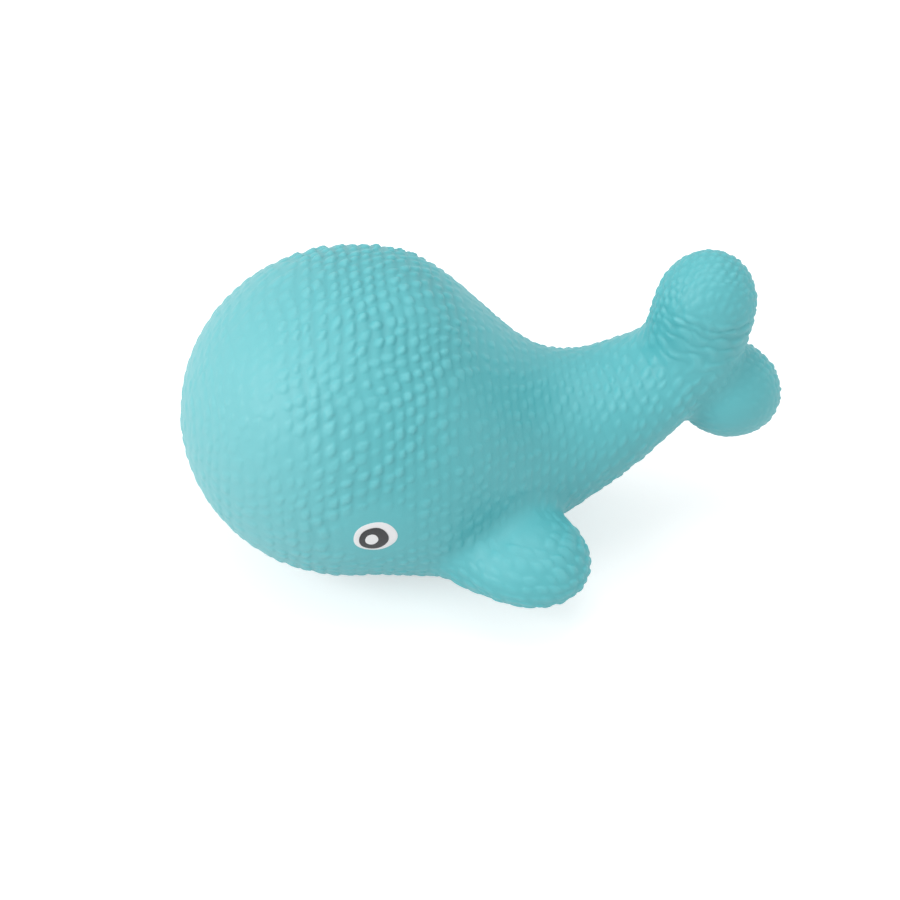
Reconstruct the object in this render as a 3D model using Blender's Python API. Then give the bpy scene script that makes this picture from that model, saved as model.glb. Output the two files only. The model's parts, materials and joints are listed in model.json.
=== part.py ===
"""Squeaky whale dog toy: a moulded latex skin stuffed with wadding, a bellows squeaker and painted eyes.

Run with blender --background --python part.py, or from Blender's text editor.
Lengths are in metres and angles in degrees. +Z is up, the nose points along -X, the whale's left
side faces -Y, and the toy rests on its flat belly with the middle of its box over the origin.
"""

import math

import bmesh
import bpy
import numpy as np
from mathutils import Matrix, Vector

# Head: its widest section lies at x = 0, and heights count from a level just above its middle
NOSE_LENGTH = 0.042
HEAD_TOP = 0.0408
HEAD_BOTTOM = -0.0435
HEAD_HALF_WIDTH = 0.041
NOSE_DROP = 0.0015

# Sections behind the head: distance back, height of the top and of the bottom, and half width
SHOULDER_BACK = 0.024
SHOULDER_TOP = 0.0326
SHOULDER_BOTTOM = -0.0457
SHOULDER_HALF_WIDTH = 0.039
WAIST_BACK = 0.048
WAIST_TOP = 0.0090
WAIST_BOTTOM = -0.0370
WAIST_HALF_WIDTH = 0.0232
STEM_BACK = 0.069
STEM_TOP = 0.0109
STEM_BOTTOM = -0.0228
STEM_HALF_WIDTH = 0.0169
STEM_END_BACK = 0.0884
STEM_END_TOP = 0.0217
STEM_END_BOTTOM = -0.0022
STEM_END_HALF_WIDTH = 0.0118
STEM_END_ROUND = 0.007
BELLY_FLAT_DEPTH = 0.0036

# Tail flukes, an upright pair of eggs: one stands on the stem's end and one points back and down
FLUKE_HALF_LENGTH = 0.0148
FLUKE_HALF_WIDTH = 0.0126
FLUKE_HALF_THICKNESS = 0.0116
UPPER_FLUKE_BACK = 0.0872
UPPER_FLUKE_RISE = 0.0239
UPPER_FLUKE_TILT = 80.0
LOWER_FLUKE_BACK = 0.0952
LOWER_FLUKE_RISE = -0.0031
LOWER_FLUKE_TILT = -37.0

# Broad root that carries the upper fluke into the stem, an egg with the same tilt
FLUKE_ROOT_HALF_LENGTH = 0.0110
FLUKE_ROOT_HALF_WIDTH = 0.0113
FLUKE_ROOT_HALF_THICKNESS = 0.0110
FLUKE_ROOT_BACK = 0.0858
FLUKE_ROOT_RISE = 0.0162

# Flippers, each a flat egg on a round root that turns in the side of the trunk
FLIPPER_BACK = 0.0374
FLIPPER_APART = 0.0316
FLIPPER_DROP = 0.0229
FLIPPER_LENGTH = 0.0200
FLIPPER_HALF_WIDTH = 0.0155
FLIPPER_HALF_THICKNESS = 0.0098
FLIPPER_ROOT_SWELL = 0.0013
FLIPPER_ROOT_DEPTH = 0.006
FLIPPER_SWEEP = 45.0
FLIPPER_DIP = 5.0

# Latex, fits and the cut at the root of the tail
SKIN_WALL = 0.0024
FIT_GAP = 0.0003
JOINT_GAP = 0.0004
TAIL_HINGE_BACK = 0.070
TAIL_CUP_MARGIN = 0.005

# Painted eyes, sunk flush into shallow seats in the sides of the head
EYE_BACK = 0.0024
EYE_BELOW = 0.0065
EYE_WHITE_RADIUS = 0.0052
EYE_IRIS_RADIUS = 0.0035
EYE_GLINT_RADIUS = 0.00155
EYE_GLINT_AHEAD = 0.0005
EYE_FILM = 0.0006

# Filling hole in the belly and the plug that closes it
FILL_HOLE_RADIUS = 0.006
PLUG_FLANGE_REACH = 0.0025
PLUG_FLANGE_THICKNESS = 0.0016
PLUG_RECESS = 0.0005
VENT_RADIUS = 0.0012

# Bellows squeaker that stands on the plug
SQUEAKER_RADIUS = 0.012
SQUEAKER_BASE_THICKNESS = 0.0016
BELLOWS_HEIGHT = 0.022
BELLOWS_FOLD_DEPTH = 0.0024
BELLOWS_WALL = 0.0009
BELLOWS_FOLDS = 4
CROWN_THICKNESS = 0.0018
CROWN_DISH = 0.0007
POCKET_CLEARANCE = 0.0006

# Reed whistle in the middle of the squeaker
HOLDER_RADIUS = 0.0035
HOLDER_BORE_RADIUS = 0.0019
HOLDER_SHOULDER_REACH = 0.002
HOLDER_SHOULDER_THICKNESS = 0.0012
REED_LENGTH = 0.0085
REED_WIDTH = 0.0050
REED_THICKNESS = 0.0003
REED_STAND_OFF = 0.0005
REED_CLIP_HEIGHT = 0.0024

# Facets
OUTER_SIDES = 32
OUTER_NOSE_RINGS = 8
OUTER_BACK_RINGS = 14
INNER_SIDES = 18
INNER_NOSE_RINGS = 6
INNER_BACK_RINGS = 10
END_RINGS = 2
OUTER_LOBE_SIDES = 18
OUTER_LOBE_RINGS = 10
INNER_LOBE_SIDES = 12
INNER_LOBE_RINGS = 8
CUP_SIDES = 16
TURNED_SIDES = 16

LATEX_COLOUR = (0.155, 0.578, 0.610, 1.0)
WADDING_COLOUR = (0.86, 0.85, 0.82, 1.0)
PAINT_WHITE_COLOUR = (0.80, 0.79, 0.82, 1.0)
PAINT_DARK_COLOUR = (0.060, 0.056, 0.063, 1.0)
SQUEAKER_COLOUR = (0.80, 0.81, 0.78, 1.0)
REED_COLOUR = (0.62, 0.20, 0.16, 1.0)

LEFT = -1
RIGHT = 1
SIDE_NAMES = {LEFT: "left", RIGHT: "right"}


def clear_scene():
    for thing in list(bpy.data.objects):
        bpy.data.objects.remove(thing)


def finish_material(name, colour, roughness):
    made = bpy.data.materials.new(name)
    made.use_nodes = True
    shader = made.node_tree.nodes["Principled BSDF"]
    shader.inputs["Base Color"].default_value = colour
    shader.inputs["Roughness"].default_value = roughness
    shader.inputs["Metallic"].default_value = 0.0
    made.diffuse_color = colour
    return made


def add_empty(name, parent=None, place=(0.0, 0.0, 0.0), turn=None):
    made = bpy.data.objects.new(name, None)
    made.empty_display_size = 0.01
    bpy.context.scene.collection.objects.link(made)
    made.parent = parent
    made.location = place
    if turn is not None:
        made.rotation_euler = turn.to_euler()
    return made


def add_piece(name, mesh, material, parent, place=(0.0, 0.0, 0.0)):
    """A named sub-part, smooth except at its sharp edges."""
    mesh.shade_smooth()
    mesh.set_sharp_from_angle(angle=math.radians(40.0))
    mesh.materials.append(material)
    made = bpy.data.objects.new(name, mesh)
    bpy.context.scene.collection.objects.link(made)
    made.parent = parent
    made.location = place
    return made


def add_cutter(name, mesh, parent, place=(0.0, 0.0, 0.0), turn=None):
    """A helper solid that only joins or cuts other pieces."""
    made = bpy.data.objects.new(name, mesh)
    bpy.context.scene.collection.objects.link(made)
    made.parent = parent
    made.location = place
    if turn is not None:
        made.rotation_euler = turn.to_euler()
    made.hide_render = True
    made.display_type = "WIRE"
    return made


def combine(piece, operation, *others):
    for other in others:
        step = piece.modifiers.new(f"{operation.lower()} {other.name}", "BOOLEAN")
        step.operation = operation
        step.solver = "EXACT"
        step.object = other


def mesh_from(name, bm):
    bmesh.ops.remove_doubles(bm, verts=bm.verts, dist=1e-7)
    bmesh.ops.recalc_face_normals(bm, faces=bm.faces)
    mesh = bpy.data.meshes.new(name)
    bm.to_mesh(mesh)
    bm.free()
    return mesh


def smooth_curve(places, values):
    """A cubic curve through the given points, level at its first point and free at its last."""
    count = len(places)
    matrix = np.zeros((count, count))
    right = np.zeros(count)
    steps = np.diff(places)
    slopes = np.diff(values) / steps
    matrix[0, :2] = 2 * steps[0], steps[0]
    right[0] = 6 * slopes[0]
    for i in range(1, count - 1):
        matrix[i, i - 1 : i + 2] = steps[i - 1], 2 * (steps[i - 1] + steps[i]), steps[i]
        right[i] = 6 * (slopes[i] - slopes[i - 1])
    matrix[-1, -1] = 1
    bends = np.linalg.solve(matrix, right)

    def value_at(place):
        i = min(max(int(np.searchsorted(places, place)) - 1, 0), count - 2)
        step = steps[i]
        before = (places[i + 1] - place) / step
        after = (place - places[i]) / step
        bend = (before**3 - before) * bends[i] + (after**3 - after) * bends[i + 1]
        return float(before * values[i] + after * values[i + 1] + bend * step**2 / 6)

    return value_at


STATIONS = (0.0, SHOULDER_BACK, WAIST_BACK, STEM_BACK, STEM_END_BACK)
back_line = smooth_curve(STATIONS, (HEAD_TOP, SHOULDER_TOP, WAIST_TOP, STEM_TOP, STEM_END_TOP))
belly_line = smooth_curve(
    STATIONS, (HEAD_BOTTOM, SHOULDER_BOTTOM, WAIST_BOTTOM, STEM_BOTTOM, STEM_END_BOTTOM)
)
side_line = smooth_curve(
    STATIONS, (HEAD_HALF_WIDTH, SHOULDER_HALF_WIDTH, WAIST_HALF_WIDTH, STEM_HALF_WIDTH, STEM_END_HALF_WIDTH)
)


def middle_at(back):
    return (back_line(back) + belly_line(back)) / 2


def half_height_at(back):
    return (back_line(back) - belly_line(back)) / 2


HEAD_MIDDLE = middle_at(0.0)
HEAD_HALF_HEIGHT = half_height_at(0.0)


def flat_belly():
    """The height of the resting plane, and how far back the middle of the flat lies."""
    backs = np.linspace(0.0, STEM_END_BACK, 181)
    lows = np.array([belly_line(back) for back in backs])
    level = float(lows.min()) + BELLY_FLAT_DEPTH
    flat = backs[lows < level]
    return level, float(flat[0] + flat[-1]) / 2


FLOOR, FILL_HOLE_BACK = flat_belly()


def section(x, middle, half_height, half_width, sides):
    """The points of an upright ellipse across the body."""
    angles = [2 * math.pi * k / sides for k in range(sides)]
    return [(x, half_width * math.cos(a), middle + half_height * math.sin(a)) for a in angles]


def body_mesh(name, inset):
    """The head, belly and tail stem as one loft. An inner form, set in by a wall, has larger facets."""
    sides, nose_rings, back_rings = OUTER_SIDES, OUTER_NOSE_RINGS, OUTER_BACK_RINGS
    if inset > 0:
        sides, nose_rings, back_rings = INNER_SIDES, INNER_NOSE_RINGS, INNER_BACK_RINGS
    nose = (-(NOSE_LENGTH - inset), 0.0, HEAD_MIDDLE - NOSE_DROP)
    rings = []
    for i in range(1, nose_rings):
        angle = math.pi / 2 * i / nose_rings
        grown = math.sin(angle)
        x = nose[0] * math.cos(angle)
        middle = HEAD_MIDDLE - NOSE_DROP * math.cos(angle) ** 2
        half_height = (HEAD_HALF_HEIGHT - inset) * grown
        half_width = (HEAD_HALF_WIDTH - inset) * grown
        rings.append(section(x, middle, half_height, half_width, sides))
    for i in range(back_rings + 1):
        back = STEM_END_BACK * i / back_rings
        half_height = half_height_at(back) - inset
        half_width = side_line(back) - inset
        rings.append(section(back, middle_at(back), half_height, half_width, sides))
    end_middle = middle_at(STEM_END_BACK)
    end_length = STEM_END_ROUND - inset
    for i in range(1, END_RINGS + 1):
        angle = math.pi / 2 * i / (END_RINGS + 1)
        left = math.cos(angle)
        x = STEM_END_BACK + end_length * math.sin(angle)
        half_height = (half_height_at(STEM_END_BACK) - inset) * left
        half_width = (STEM_END_HALF_WIDTH - inset) * left
        rings.append(section(x, end_middle, half_height, half_width, sides))
    end = (STEM_END_BACK + end_length, 0.0, end_middle)
    return loft_mesh(name, nose, rings, end, FLOOR + inset)


def cut_flat(bm, place, normal):
    """Removes what lies behind a plane and closes the cut."""
    parts = bm.verts[:] + bm.edges[:] + bm.faces[:]
    cut = bmesh.ops.bisect_plane(bm, geom=parts, plane_co=place, plane_no=normal, clear_inner=True)
    rim = [part for part in cut["geom_cut"] if isinstance(part, bmesh.types.BMEdge)]
    bmesh.ops.edgeloop_fill(bm, edges=rim)


def loft_mesh(name, first, rings, last, low):
    """A closed skin over rings of points, with one point at each end, cut flat at the height low."""
    bm = bmesh.new()
    rows = [[bm.verts.new(point) for point in ring] for ring in rings]
    ends = bm.verts.new(first), bm.verts.new(last)
    sides = len(rows[0])
    for k in range(sides):
        after = (k + 1) % sides
        bm.faces.new((ends[0], rows[0][k], rows[0][after]))
        bm.faces.new((ends[1], rows[-1][after], rows[-1][k]))
        for here, there in zip(rows, rows[1:]):
            bm.faces.new((here[k], there[k], there[after], here[after]))
    cut_flat(bm, (0.0, 0.0, low), (0.0, 0.0, 1.0))
    return mesh_from(name, bm)


def egg_mesh(name, radii, inner, cut_below=None, poles_along_y=False):
    """An ellipsoid, which may be cut off square below a place on its X axis."""
    sides = INNER_LOBE_SIDES if inner else OUTER_LOBE_SIDES
    rings = INNER_LOBE_RINGS if inner else OUTER_LOBE_RINGS
    bm = bmesh.new()
    stand = Matrix.Rotation(math.radians(90.0), 4, "X") if poles_along_y else Matrix()
    size = Matrix.Diagonal((*radii, 1.0))
    bmesh.ops.create_uvsphere(bm, u_segments=sides, v_segments=rings, radius=1.0, matrix=size @ stand)
    if cut_below is not None:
        cut_flat(bm, (cut_below, 0.0, 0.0), (1.0, 0.0, 0.0))
    return mesh_from(name, bm)


def turned_mesh(name, profile, sides):
    """A solid turned about Z from a closed outline of (radius, height) points."""
    bm = bmesh.new()
    rows = []
    for k in range(sides):
        angle = 2 * math.pi * (k + 0.5) / sides
        row = [bm.verts.new((r * math.cos(angle), r * math.sin(angle), z)) for r, z in profile]
        rows.append(row)
    for here, there in zip(rows, rows[1:] + rows[:1]):
        for i in range(len(profile)):
            after = (i + 1) % len(profile)
            if max(profile[i][0], profile[after][0]) > 0:
                bm.faces.new((here[i], there[i], there[after], here[after]))
    return mesh_from(name, bm)


def tube_profile(inner, outer, low, high):
    return [(inner, low), (outer, low), (outer, high), (inner, high)]


def rod_mesh(name, radius, low, high, sides):
    return turned_mesh(name, tube_profile(0.0, radius, low, high), sides)


def block_mesh(name, low, high):
    bm = bmesh.new()
    size = Vector(high) - Vector(low)
    middle = (Vector(high) + Vector(low)) / 2
    place = Matrix.Translation(middle) @ Matrix.Diagonal((*size, 1.0))
    bmesh.ops.create_cube(bm, size=1.0, matrix=place)
    return mesh_from(name, bm)


def tail_cut_mesh(name, radius):
    """A half drum about Y that faces the nose, with a block behind it that holds the whole tail."""
    reach = NOSE_LENGTH + STEM_END_BACK
    outline = [(0.0, reach), (reach, reach), (reach, -reach), (0.0, -reach)]
    for i in range(CUP_SIDES + 1):
        angle = math.pi * (1.5 - i / CUP_SIDES)
        outline.append((radius * math.cos(angle), radius * math.sin(angle)))
    bm = bmesh.new()
    face = bm.faces.new([bm.verts.new((x, -reach, z)) for x, z in outline])
    swept = bmesh.ops.extrude_face_region(bm, geom=[face])["geom"]
    moved = [part for part in swept if isinstance(part, bmesh.types.BMVert)]
    bmesh.ops.translate(bm, verts=moved, vec=(0.0, 2 * reach, 0.0))
    return mesh_from(name, bm)


def sweep_turn(sweep, tilt):
    """A turn that swings +X sideways by sweep and lifts it by tilt."""
    return Matrix.Rotation(math.radians(sweep), 3, "Z") @ Matrix.Rotation(math.radians(-tilt), 3, "Y")


def fluke_forms(name, parent, inset):
    """The two flukes and the root of the upper one, all set in by a wall."""
    fluke = (FLUKE_HALF_LENGTH, FLUKE_HALF_THICKNESS, FLUKE_HALF_WIDTH)
    root = (FLUKE_ROOT_HALF_LENGTH, FLUKE_ROOT_HALF_THICKNESS, FLUKE_ROOT_HALF_WIDTH)
    forms = []
    for which, halves, back, rise, tilt in (
        ("upper", fluke, UPPER_FLUKE_BACK, UPPER_FLUKE_RISE, UPPER_FLUKE_TILT),
        ("lower", fluke, LOWER_FLUKE_BACK, LOWER_FLUKE_RISE, LOWER_FLUKE_TILT),
        ("root", root, FLUKE_ROOT_BACK, FLUKE_ROOT_RISE, UPPER_FLUKE_TILT),
    ):
        label = f"{name}_{which}"
        form = egg_mesh(label, [half - inset for half in halves], inset > 0)
        forms.append(add_cutter(label, form, parent, (back, 0.0, rise), sweep_turn(0.0, tilt)))
    return forms


def make_tail(whale, latex, wadding):
    """The stem and flukes, which bend up and down about a hinge across the root of the tail."""
    place = Vector((TAIL_HINGE_BACK, 0.0, middle_at(TAIL_HINGE_BACK)))
    hinge = add_empty("tail_hinge", whale, place)
    radius = half_height_at(TAIL_HINGE_BACK) + TAIL_CUP_MARGIN
    tail_cut = add_cutter("tail_cut", tail_cut_mesh("tail_cut", radius), hinge)
    trunk_cut = add_cutter("trunk_tail_cut", tail_cut_mesh("trunk_tail_cut", radius + JOINT_GAP), hinge)

    hollow = add_cutter("tail_hollow", body_mesh("tail_hollow", SKIN_WALL), whale)
    combine(hollow, "UNION", *fluke_forms("fluke_hollow", whale, SKIN_WALL))

    skin = add_piece("tail_skin", body_mesh("tail_skin", 0.0), latex, hinge, -place)
    combine(skin, "UNION", *fluke_forms("fluke_form", whale, 0.0))
    combine(skin, "INTERSECT", tail_cut)
    combine(skin, "DIFFERENCE", hollow)

    inset = SKIN_WALL + FIT_GAP
    filling = add_piece("tail_wadding", body_mesh("tail_wadding", inset), wadding, hinge, -place)
    combine(filling, "UNION", *fluke_forms("fluke_filling", whale, inset))
    combine(filling, "INTERSECT", tail_cut)
    return trunk_cut


def flipper_forms(label, parent, inset, root_end):
    """The blade that joins a flipper's round root, and the root's own mesh, both set in by a wall."""
    blade_radii = [
        half - inset for half in (FLIPPER_LENGTH, FLIPPER_HALF_WIDTH, FLIPPER_HALF_THICKNESS)
    ]
    inner = inset > 0
    blade = add_cutter(f"{label}_blade", egg_mesh(f"{label}_blade", blade_radii, inner, 0.0), parent)
    root_radius = FLIPPER_HALF_THICKNESS + FLIPPER_ROOT_SWELL - inset
    root_half = FLIPPER_HALF_WIDTH + FLIPPER_ROOT_SWELL - inset
    root_radii = (root_radius, root_half, root_radius)
    return blade, egg_mesh(f"{label}_root", root_radii, inner, root_end, poles_along_y=True)


def make_flipper(side, whale, latex, wadding):
    """One flipper, which flaps about the axis of its round root. Its own +X points outwards."""
    name = SIDE_NAMES[side]
    place = (FLIPPER_BACK, side * FLIPPER_APART, -FLIPPER_DROP)
    hinge = add_empty(f"flipper_hinge_{name}", whale, place, sweep_turn(side * FLIPPER_SWEEP, -FLIPPER_DIP))

    hollow_blade, hollow_root = flipper_forms(f"flipper_hollow_{name}", hinge, SKIN_WALL, None)
    hollow = add_cutter(f"flipper_hollow_{name}", hollow_root, hinge)
    combine(hollow, "UNION", hollow_blade)

    blade, root = flipper_forms(f"flipper_form_{name}", hinge, 0.0, -FLIPPER_ROOT_DEPTH)
    skin = add_piece(f"flipper_skin_{name}", root, latex, hinge)
    combine(skin, "UNION", blade)
    combine(skin, "DIFFERENCE", hollow)

    inset = SKIN_WALL + FIT_GAP
    blade, root = flipper_forms(f"flipper_filling_{name}", hinge, inset, FIT_GAP - FLIPPER_ROOT_DEPTH)
    filling = add_piece(f"flipper_wadding_{name}", root, wadding, hinge)
    combine(filling, "UNION", blade)

    socket_radius = FLIPPER_HALF_THICKNESS + FLIPPER_ROOT_SWELL + JOINT_GAP
    socket_half = FLIPPER_HALF_WIDTH + FLIPPER_ROOT_SWELL + JOINT_GAP
    socket_radii = (socket_radius, socket_half, socket_radius)
    socket = egg_mesh(f"flipper_socket_{name}", socket_radii, False, poles_along_y=True)
    return add_cutter(f"flipper_socket_{name}", socket, hinge)


def disc_with_hole(name, radius, low, high, hole_radius, hole_ahead, sides):
    """A flat disc about Z with a round hole that may lie a little towards +X."""
    bm = bmesh.new()
    loops = []
    for edge, ahead, height in (
        (radius, 0.0, low),
        (radius, 0.0, high),
        (hole_radius, hole_ahead, high),
        (hole_radius, hole_ahead, low),
    ):
        angles = [2 * math.pi * k / sides for k in range(sides)]
        loops.append(
            [bm.verts.new((ahead + edge * math.cos(a), edge * math.sin(a), height)) for a in angles]
        )
    for here, there in zip(loops, loops[1:] + loops[:1]):
        for k in range(sides):
            after = (k + 1) % sides
            bm.faces.new((here[k], here[after], there[after], there[k]))
    return mesh_from(name, bm)


def make_eye(side, whale, paint_white, paint_dark):
    """Three paint films in a seat: a white ring, a dark ring and a white glint. +X looks ahead."""
    name = SIDE_NAMES[side]
    half_height = half_height_at(EYE_BACK)
    half_width = side_line(EYE_BACK)
    fall = EYE_BELOW + middle_at(EYE_BACK)
    out = half_width * math.sqrt(1 - (fall / half_height) ** 2)
    normal = Vector((0.0, side * out / half_width**2, -fall / half_height**2)).normalized()
    ahead = Vector((-1.0, 0.0, 0.0))
    turn = Matrix((ahead, normal.cross(ahead), normal)).transposed()
    seat = add_empty(f"eye_seat_{name}", whale, (EYE_BACK, side * out, -EYE_BELOW), turn)

    # A flat film leaves the round head by this much at its rim.
    rim_fall = EYE_WHITE_RADIUS**2 / (2 * half_width)
    low = -(EYE_FILM + rim_fall)
    high = -rim_fall
    iris_hole = EYE_IRIS_RADIUS + FIT_GAP
    glint_hole = EYE_GLINT_RADIUS + FIT_GAP
    white = disc_with_hole(
        f"eye_white_{name}", EYE_WHITE_RADIUS, low, high, iris_hole, 0.0, TURNED_SIDES
    )
    iris = disc_with_hole(
        f"eye_iris_{name}", EYE_IRIS_RADIUS, low, high, glint_hole, EYE_GLINT_AHEAD, TURNED_SIDES
    )
    glint = rod_mesh(f"eye_glint_{name}", EYE_GLINT_RADIUS, low, high, TURNED_SIDES)
    add_piece(f"eye_white_{name}", white, paint_white, seat)
    add_piece(f"eye_iris_{name}", iris, paint_dark, seat)
    add_piece(f"eye_glint_{name}", glint, paint_white, seat, (EYE_GLINT_AHEAD, 0.0, 0.0))

    well = rod_mesh(f"eye_well_{name}", EYE_WHITE_RADIUS + FIT_GAP, low - FIT_GAP, SKIN_WALL, TURNED_SIDES)
    return add_cutter(f"eye_well_{name}", well, seat)


def make_plug(axis, latex):
    """The mushroom plug in the filling hole, with a vent through it. Returns the height of its top."""
    stem = FILL_HOLE_RADIUS - FIT_GAP
    flange = FILL_HOLE_RADIUS + PLUG_FLANGE_REACH
    seat = SKIN_WALL + FIT_GAP
    top = seat + PLUG_FLANGE_THICKNESS
    profile = [
        (VENT_RADIUS, PLUG_RECESS),
        (stem, PLUG_RECESS),
        (stem, seat),
        (flange, seat),
        (flange, top),
        (VENT_RADIUS, top),
    ]
    add_piece("closing_plug", turned_mesh("closing_plug", profile, TURNED_SIDES), latex, axis)
    return top


def bellows_profile(low, high):
    """A folded wall: out and in up the outside, then the same line back down one wall further in."""
    outside = []
    for i in range(2 * BELLOWS_FOLDS + 1):
        height = low + (high - low) * i / (2 * BELLOWS_FOLDS)
        fold = 0.0 if i % 2 else BELLOWS_FOLD_DEPTH
        outside.append((SQUEAKER_RADIUS - fold, height))
    inside = [(radius - BELLOWS_WALL, height) for radius, height in reversed(outside)]
    return outside + inside


def make_squeaker(axis, bottom, plastic):
    """Base, folded bellows and crown. The crown is what travels. Returns the heights of base and crown."""
    base_top = bottom + SQUEAKER_BASE_THICKNESS
    hole = HOLDER_RADIUS + FIT_GAP
    base = tube_profile(hole, SQUEAKER_RADIUS, bottom, base_top)
    add_piece("squeaker_base", turned_mesh("squeaker_base", base, TURNED_SIDES), plastic, axis)

    low = base_top + FIT_GAP
    high = low + BELLOWS_HEIGHT
    folds = turned_mesh("squeaker_bellows", bellows_profile(low, high), TURNED_SIDES)
    add_piece("squeaker_bellows", folds, plastic, axis)

    crown_low = high + FIT_GAP
    crown_high = crown_low + CROWN_THICKNESS
    rim = SQUEAKER_RADIUS - BELLOWS_FOLD_DEPTH
    crown = [
        (0.0, crown_low),
        (SQUEAKER_RADIUS, crown_low),
        (SQUEAKER_RADIUS, crown_high),
        (rim, crown_high),
        (rim - CROWN_DISH, crown_high - CROWN_DISH),
        (0.0, crown_high - CROWN_DISH),
    ]
    add_piece("squeaker_crown", turned_mesh("squeaker_crown", crown, TURNED_SIDES), plastic, axis)
    return base_top, crown_high


def make_reed(axis, bottom, base_top, plastic, reed_finish):
    """A half-round holder through the base, a reed along its flat side and the clip that grips the reed."""
    shoulder_low = base_top + FIT_GAP
    shoulder_high = shoulder_low + HOLDER_SHOULDER_THICKNESS
    step = shoulder_high + FIT_GAP
    root = step + FIT_GAP
    top = root + REED_LENGTH + FIT_GAP
    shoulder = HOLDER_RADIUS + HOLDER_SHOULDER_REACH
    profile = [
        (HOLDER_BORE_RADIUS, bottom),
        (HOLDER_RADIUS, bottom),
        (HOLDER_RADIUS, shoulder_low),
        (shoulder, shoulder_low),
        (shoulder, shoulder_high),
        (HOLDER_RADIUS, shoulder_high),
        (HOLDER_RADIUS, top),
        (HOLDER_BORE_RADIUS, top),
    ]
    holder = add_piece("reed_holder", turned_mesh("reed_holder", profile, TURNED_SIDES), plastic, axis)
    reach = 2 * shoulder
    flat = block_mesh("reed_flat_cut", (0.0, -reach, step), (reach, reach, top + reach))
    combine(holder, "DIFFERENCE", add_cutter("reed_flat_cut", flat, axis))

    back = REED_STAND_OFF + REED_THICKNESS
    hinge_place = (REED_STAND_OFF + REED_THICKNESS / 2, 0.0, root + REED_CLIP_HEIGHT)
    hinge = add_empty("reed_hinge", axis, hinge_place)
    half = Vector((REED_THICKNESS, REED_WIDTH, 0.0)) / 2
    low = Vector((-half.x, -half.y, -REED_CLIP_HEIGHT))
    high = Vector((half.x, half.y, REED_LENGTH - REED_CLIP_HEIGHT))
    add_piece("reed", block_mesh("reed", low, high), reed_finish, hinge)

    clip_mesh = rod_mesh("reed_clip", HOLDER_RADIUS, root, root + REED_CLIP_HEIGHT, TURNED_SIDES)
    clip = add_piece("reed_clip", clip_mesh, plastic, axis)
    face = back + FIT_GAP
    keep = block_mesh("reed_clip_cut", (-reach, -reach, bottom), (face, reach, top + reach))
    combine(clip, "DIFFERENCE", add_cutter("reed_clip_cut", keep, axis))


def make_trunk(whale, axis, latex, wadding, cuts, wells, crown_high):
    """The skin of the head and belly and its filling, cut for the tail, flippers, eyes and squeaker."""
    hollow = add_cutter("trunk_hollow", body_mesh("trunk_hollow", SKIN_WALL), whale)
    hole_mesh = rod_mesh("fill_hole", FILL_HOLE_RADIUS, -SKIN_WALL, 2 * SKIN_WALL, TURNED_SIDES)
    fill_hole = add_cutter("fill_hole", hole_mesh, axis)
    skin = add_piece("trunk_skin", body_mesh("trunk_skin", 0.0), latex, whale)
    combine(skin, "DIFFERENCE", hollow, fill_hole, *cuts, *wells)

    pocket_radius = SQUEAKER_RADIUS + POCKET_CLEARANCE
    pocket_mesh = rod_mesh(
        "squeaker_pocket", pocket_radius, -SKIN_WALL, crown_high + FIT_GAP, TURNED_SIDES
    )
    pocket = add_cutter("squeaker_pocket", pocket_mesh, axis)
    filling_mesh = body_mesh("trunk_wadding", SKIN_WALL + FIT_GAP)
    filling = add_piece("trunk_wadding", filling_mesh, wadding, whale)
    combine(filling, "DIFFERENCE", pocket, *cuts)


def set_on_origin(whale):
    """Moves the whole toy so that the bottom centre of its box is the origin."""
    bpy.context.view_layer.update()
    graph = bpy.context.evaluated_depsgraph_get()
    corners = []
    for thing in bpy.context.scene.objects:
        if thing.type == "MESH" and not thing.hide_render:
            done = thing.evaluated_get(graph)
            corners += [done.matrix_world @ Vector(corner) for corner in done.bound_box]
    low = Vector(min(corner[i] for corner in corners) for i in range(3))
    high = Vector(max(corner[i] for corner in corners) for i in range(3))
    middle = (low + high) / 2
    whale.location -= Vector((middle.x, middle.y, low.z))
    bpy.context.view_layer.update()


def main():
    clear_scene()
    latex = finish_material("turquoise_latex", LATEX_COLOUR, 0.55)
    wadding = finish_material("polyester_wadding", WADDING_COLOUR, 0.95)
    paint_white = finish_material("white_paint", PAINT_WHITE_COLOUR, 0.45)
    paint_dark = finish_material("charcoal_paint", PAINT_DARK_COLOUR, 0.45)
    plastic = finish_material("squeaker_plastic", SQUEAKER_COLOUR, 0.4)
    reed_finish = finish_material("reed_film", REED_COLOUR, 0.35)

    whale = add_empty("whale")
    axis = add_empty("squeaker_axis", whale, (FILL_HOLE_BACK, 0.0, FLOOR))
    cuts = [make_tail(whale, latex, wadding)]
    cuts += [make_flipper(side, whale, latex, wadding) for side in (LEFT, RIGHT)]
    wells = [make_eye(side, whale, paint_white, paint_dark) for side in (LEFT, RIGHT)]
    squeaker_bottom = make_plug(axis, latex) + FIT_GAP
    base_top, crown_high = make_squeaker(axis, squeaker_bottom, plastic)
    make_reed(axis, squeaker_bottom, base_top, plastic, reed_finish)
    make_trunk(whale, axis, latex, wadding, cuts, wells, crown_high)
    set_on_origin(whale)


main()
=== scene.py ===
"""Looks of a squeaky whale dog toy, laid out as a Blender add-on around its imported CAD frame.

The latex skin is modelled whole, with its fillets and moulded nubs, and then parted where it bends or
gives way to a squeeze. Lengths are in metres. Heights and distances back count from the widest section
of the head, as in the CAD source.
"""

import json
import math

import bmesh
import bpy
import numpy as np
from bpy.props import FloatProperty, FloatVectorProperty, PointerProperty
from bpy.types import Operator, Panel, PropertyGroup
from mathutils import Matrix, Vector


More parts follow.
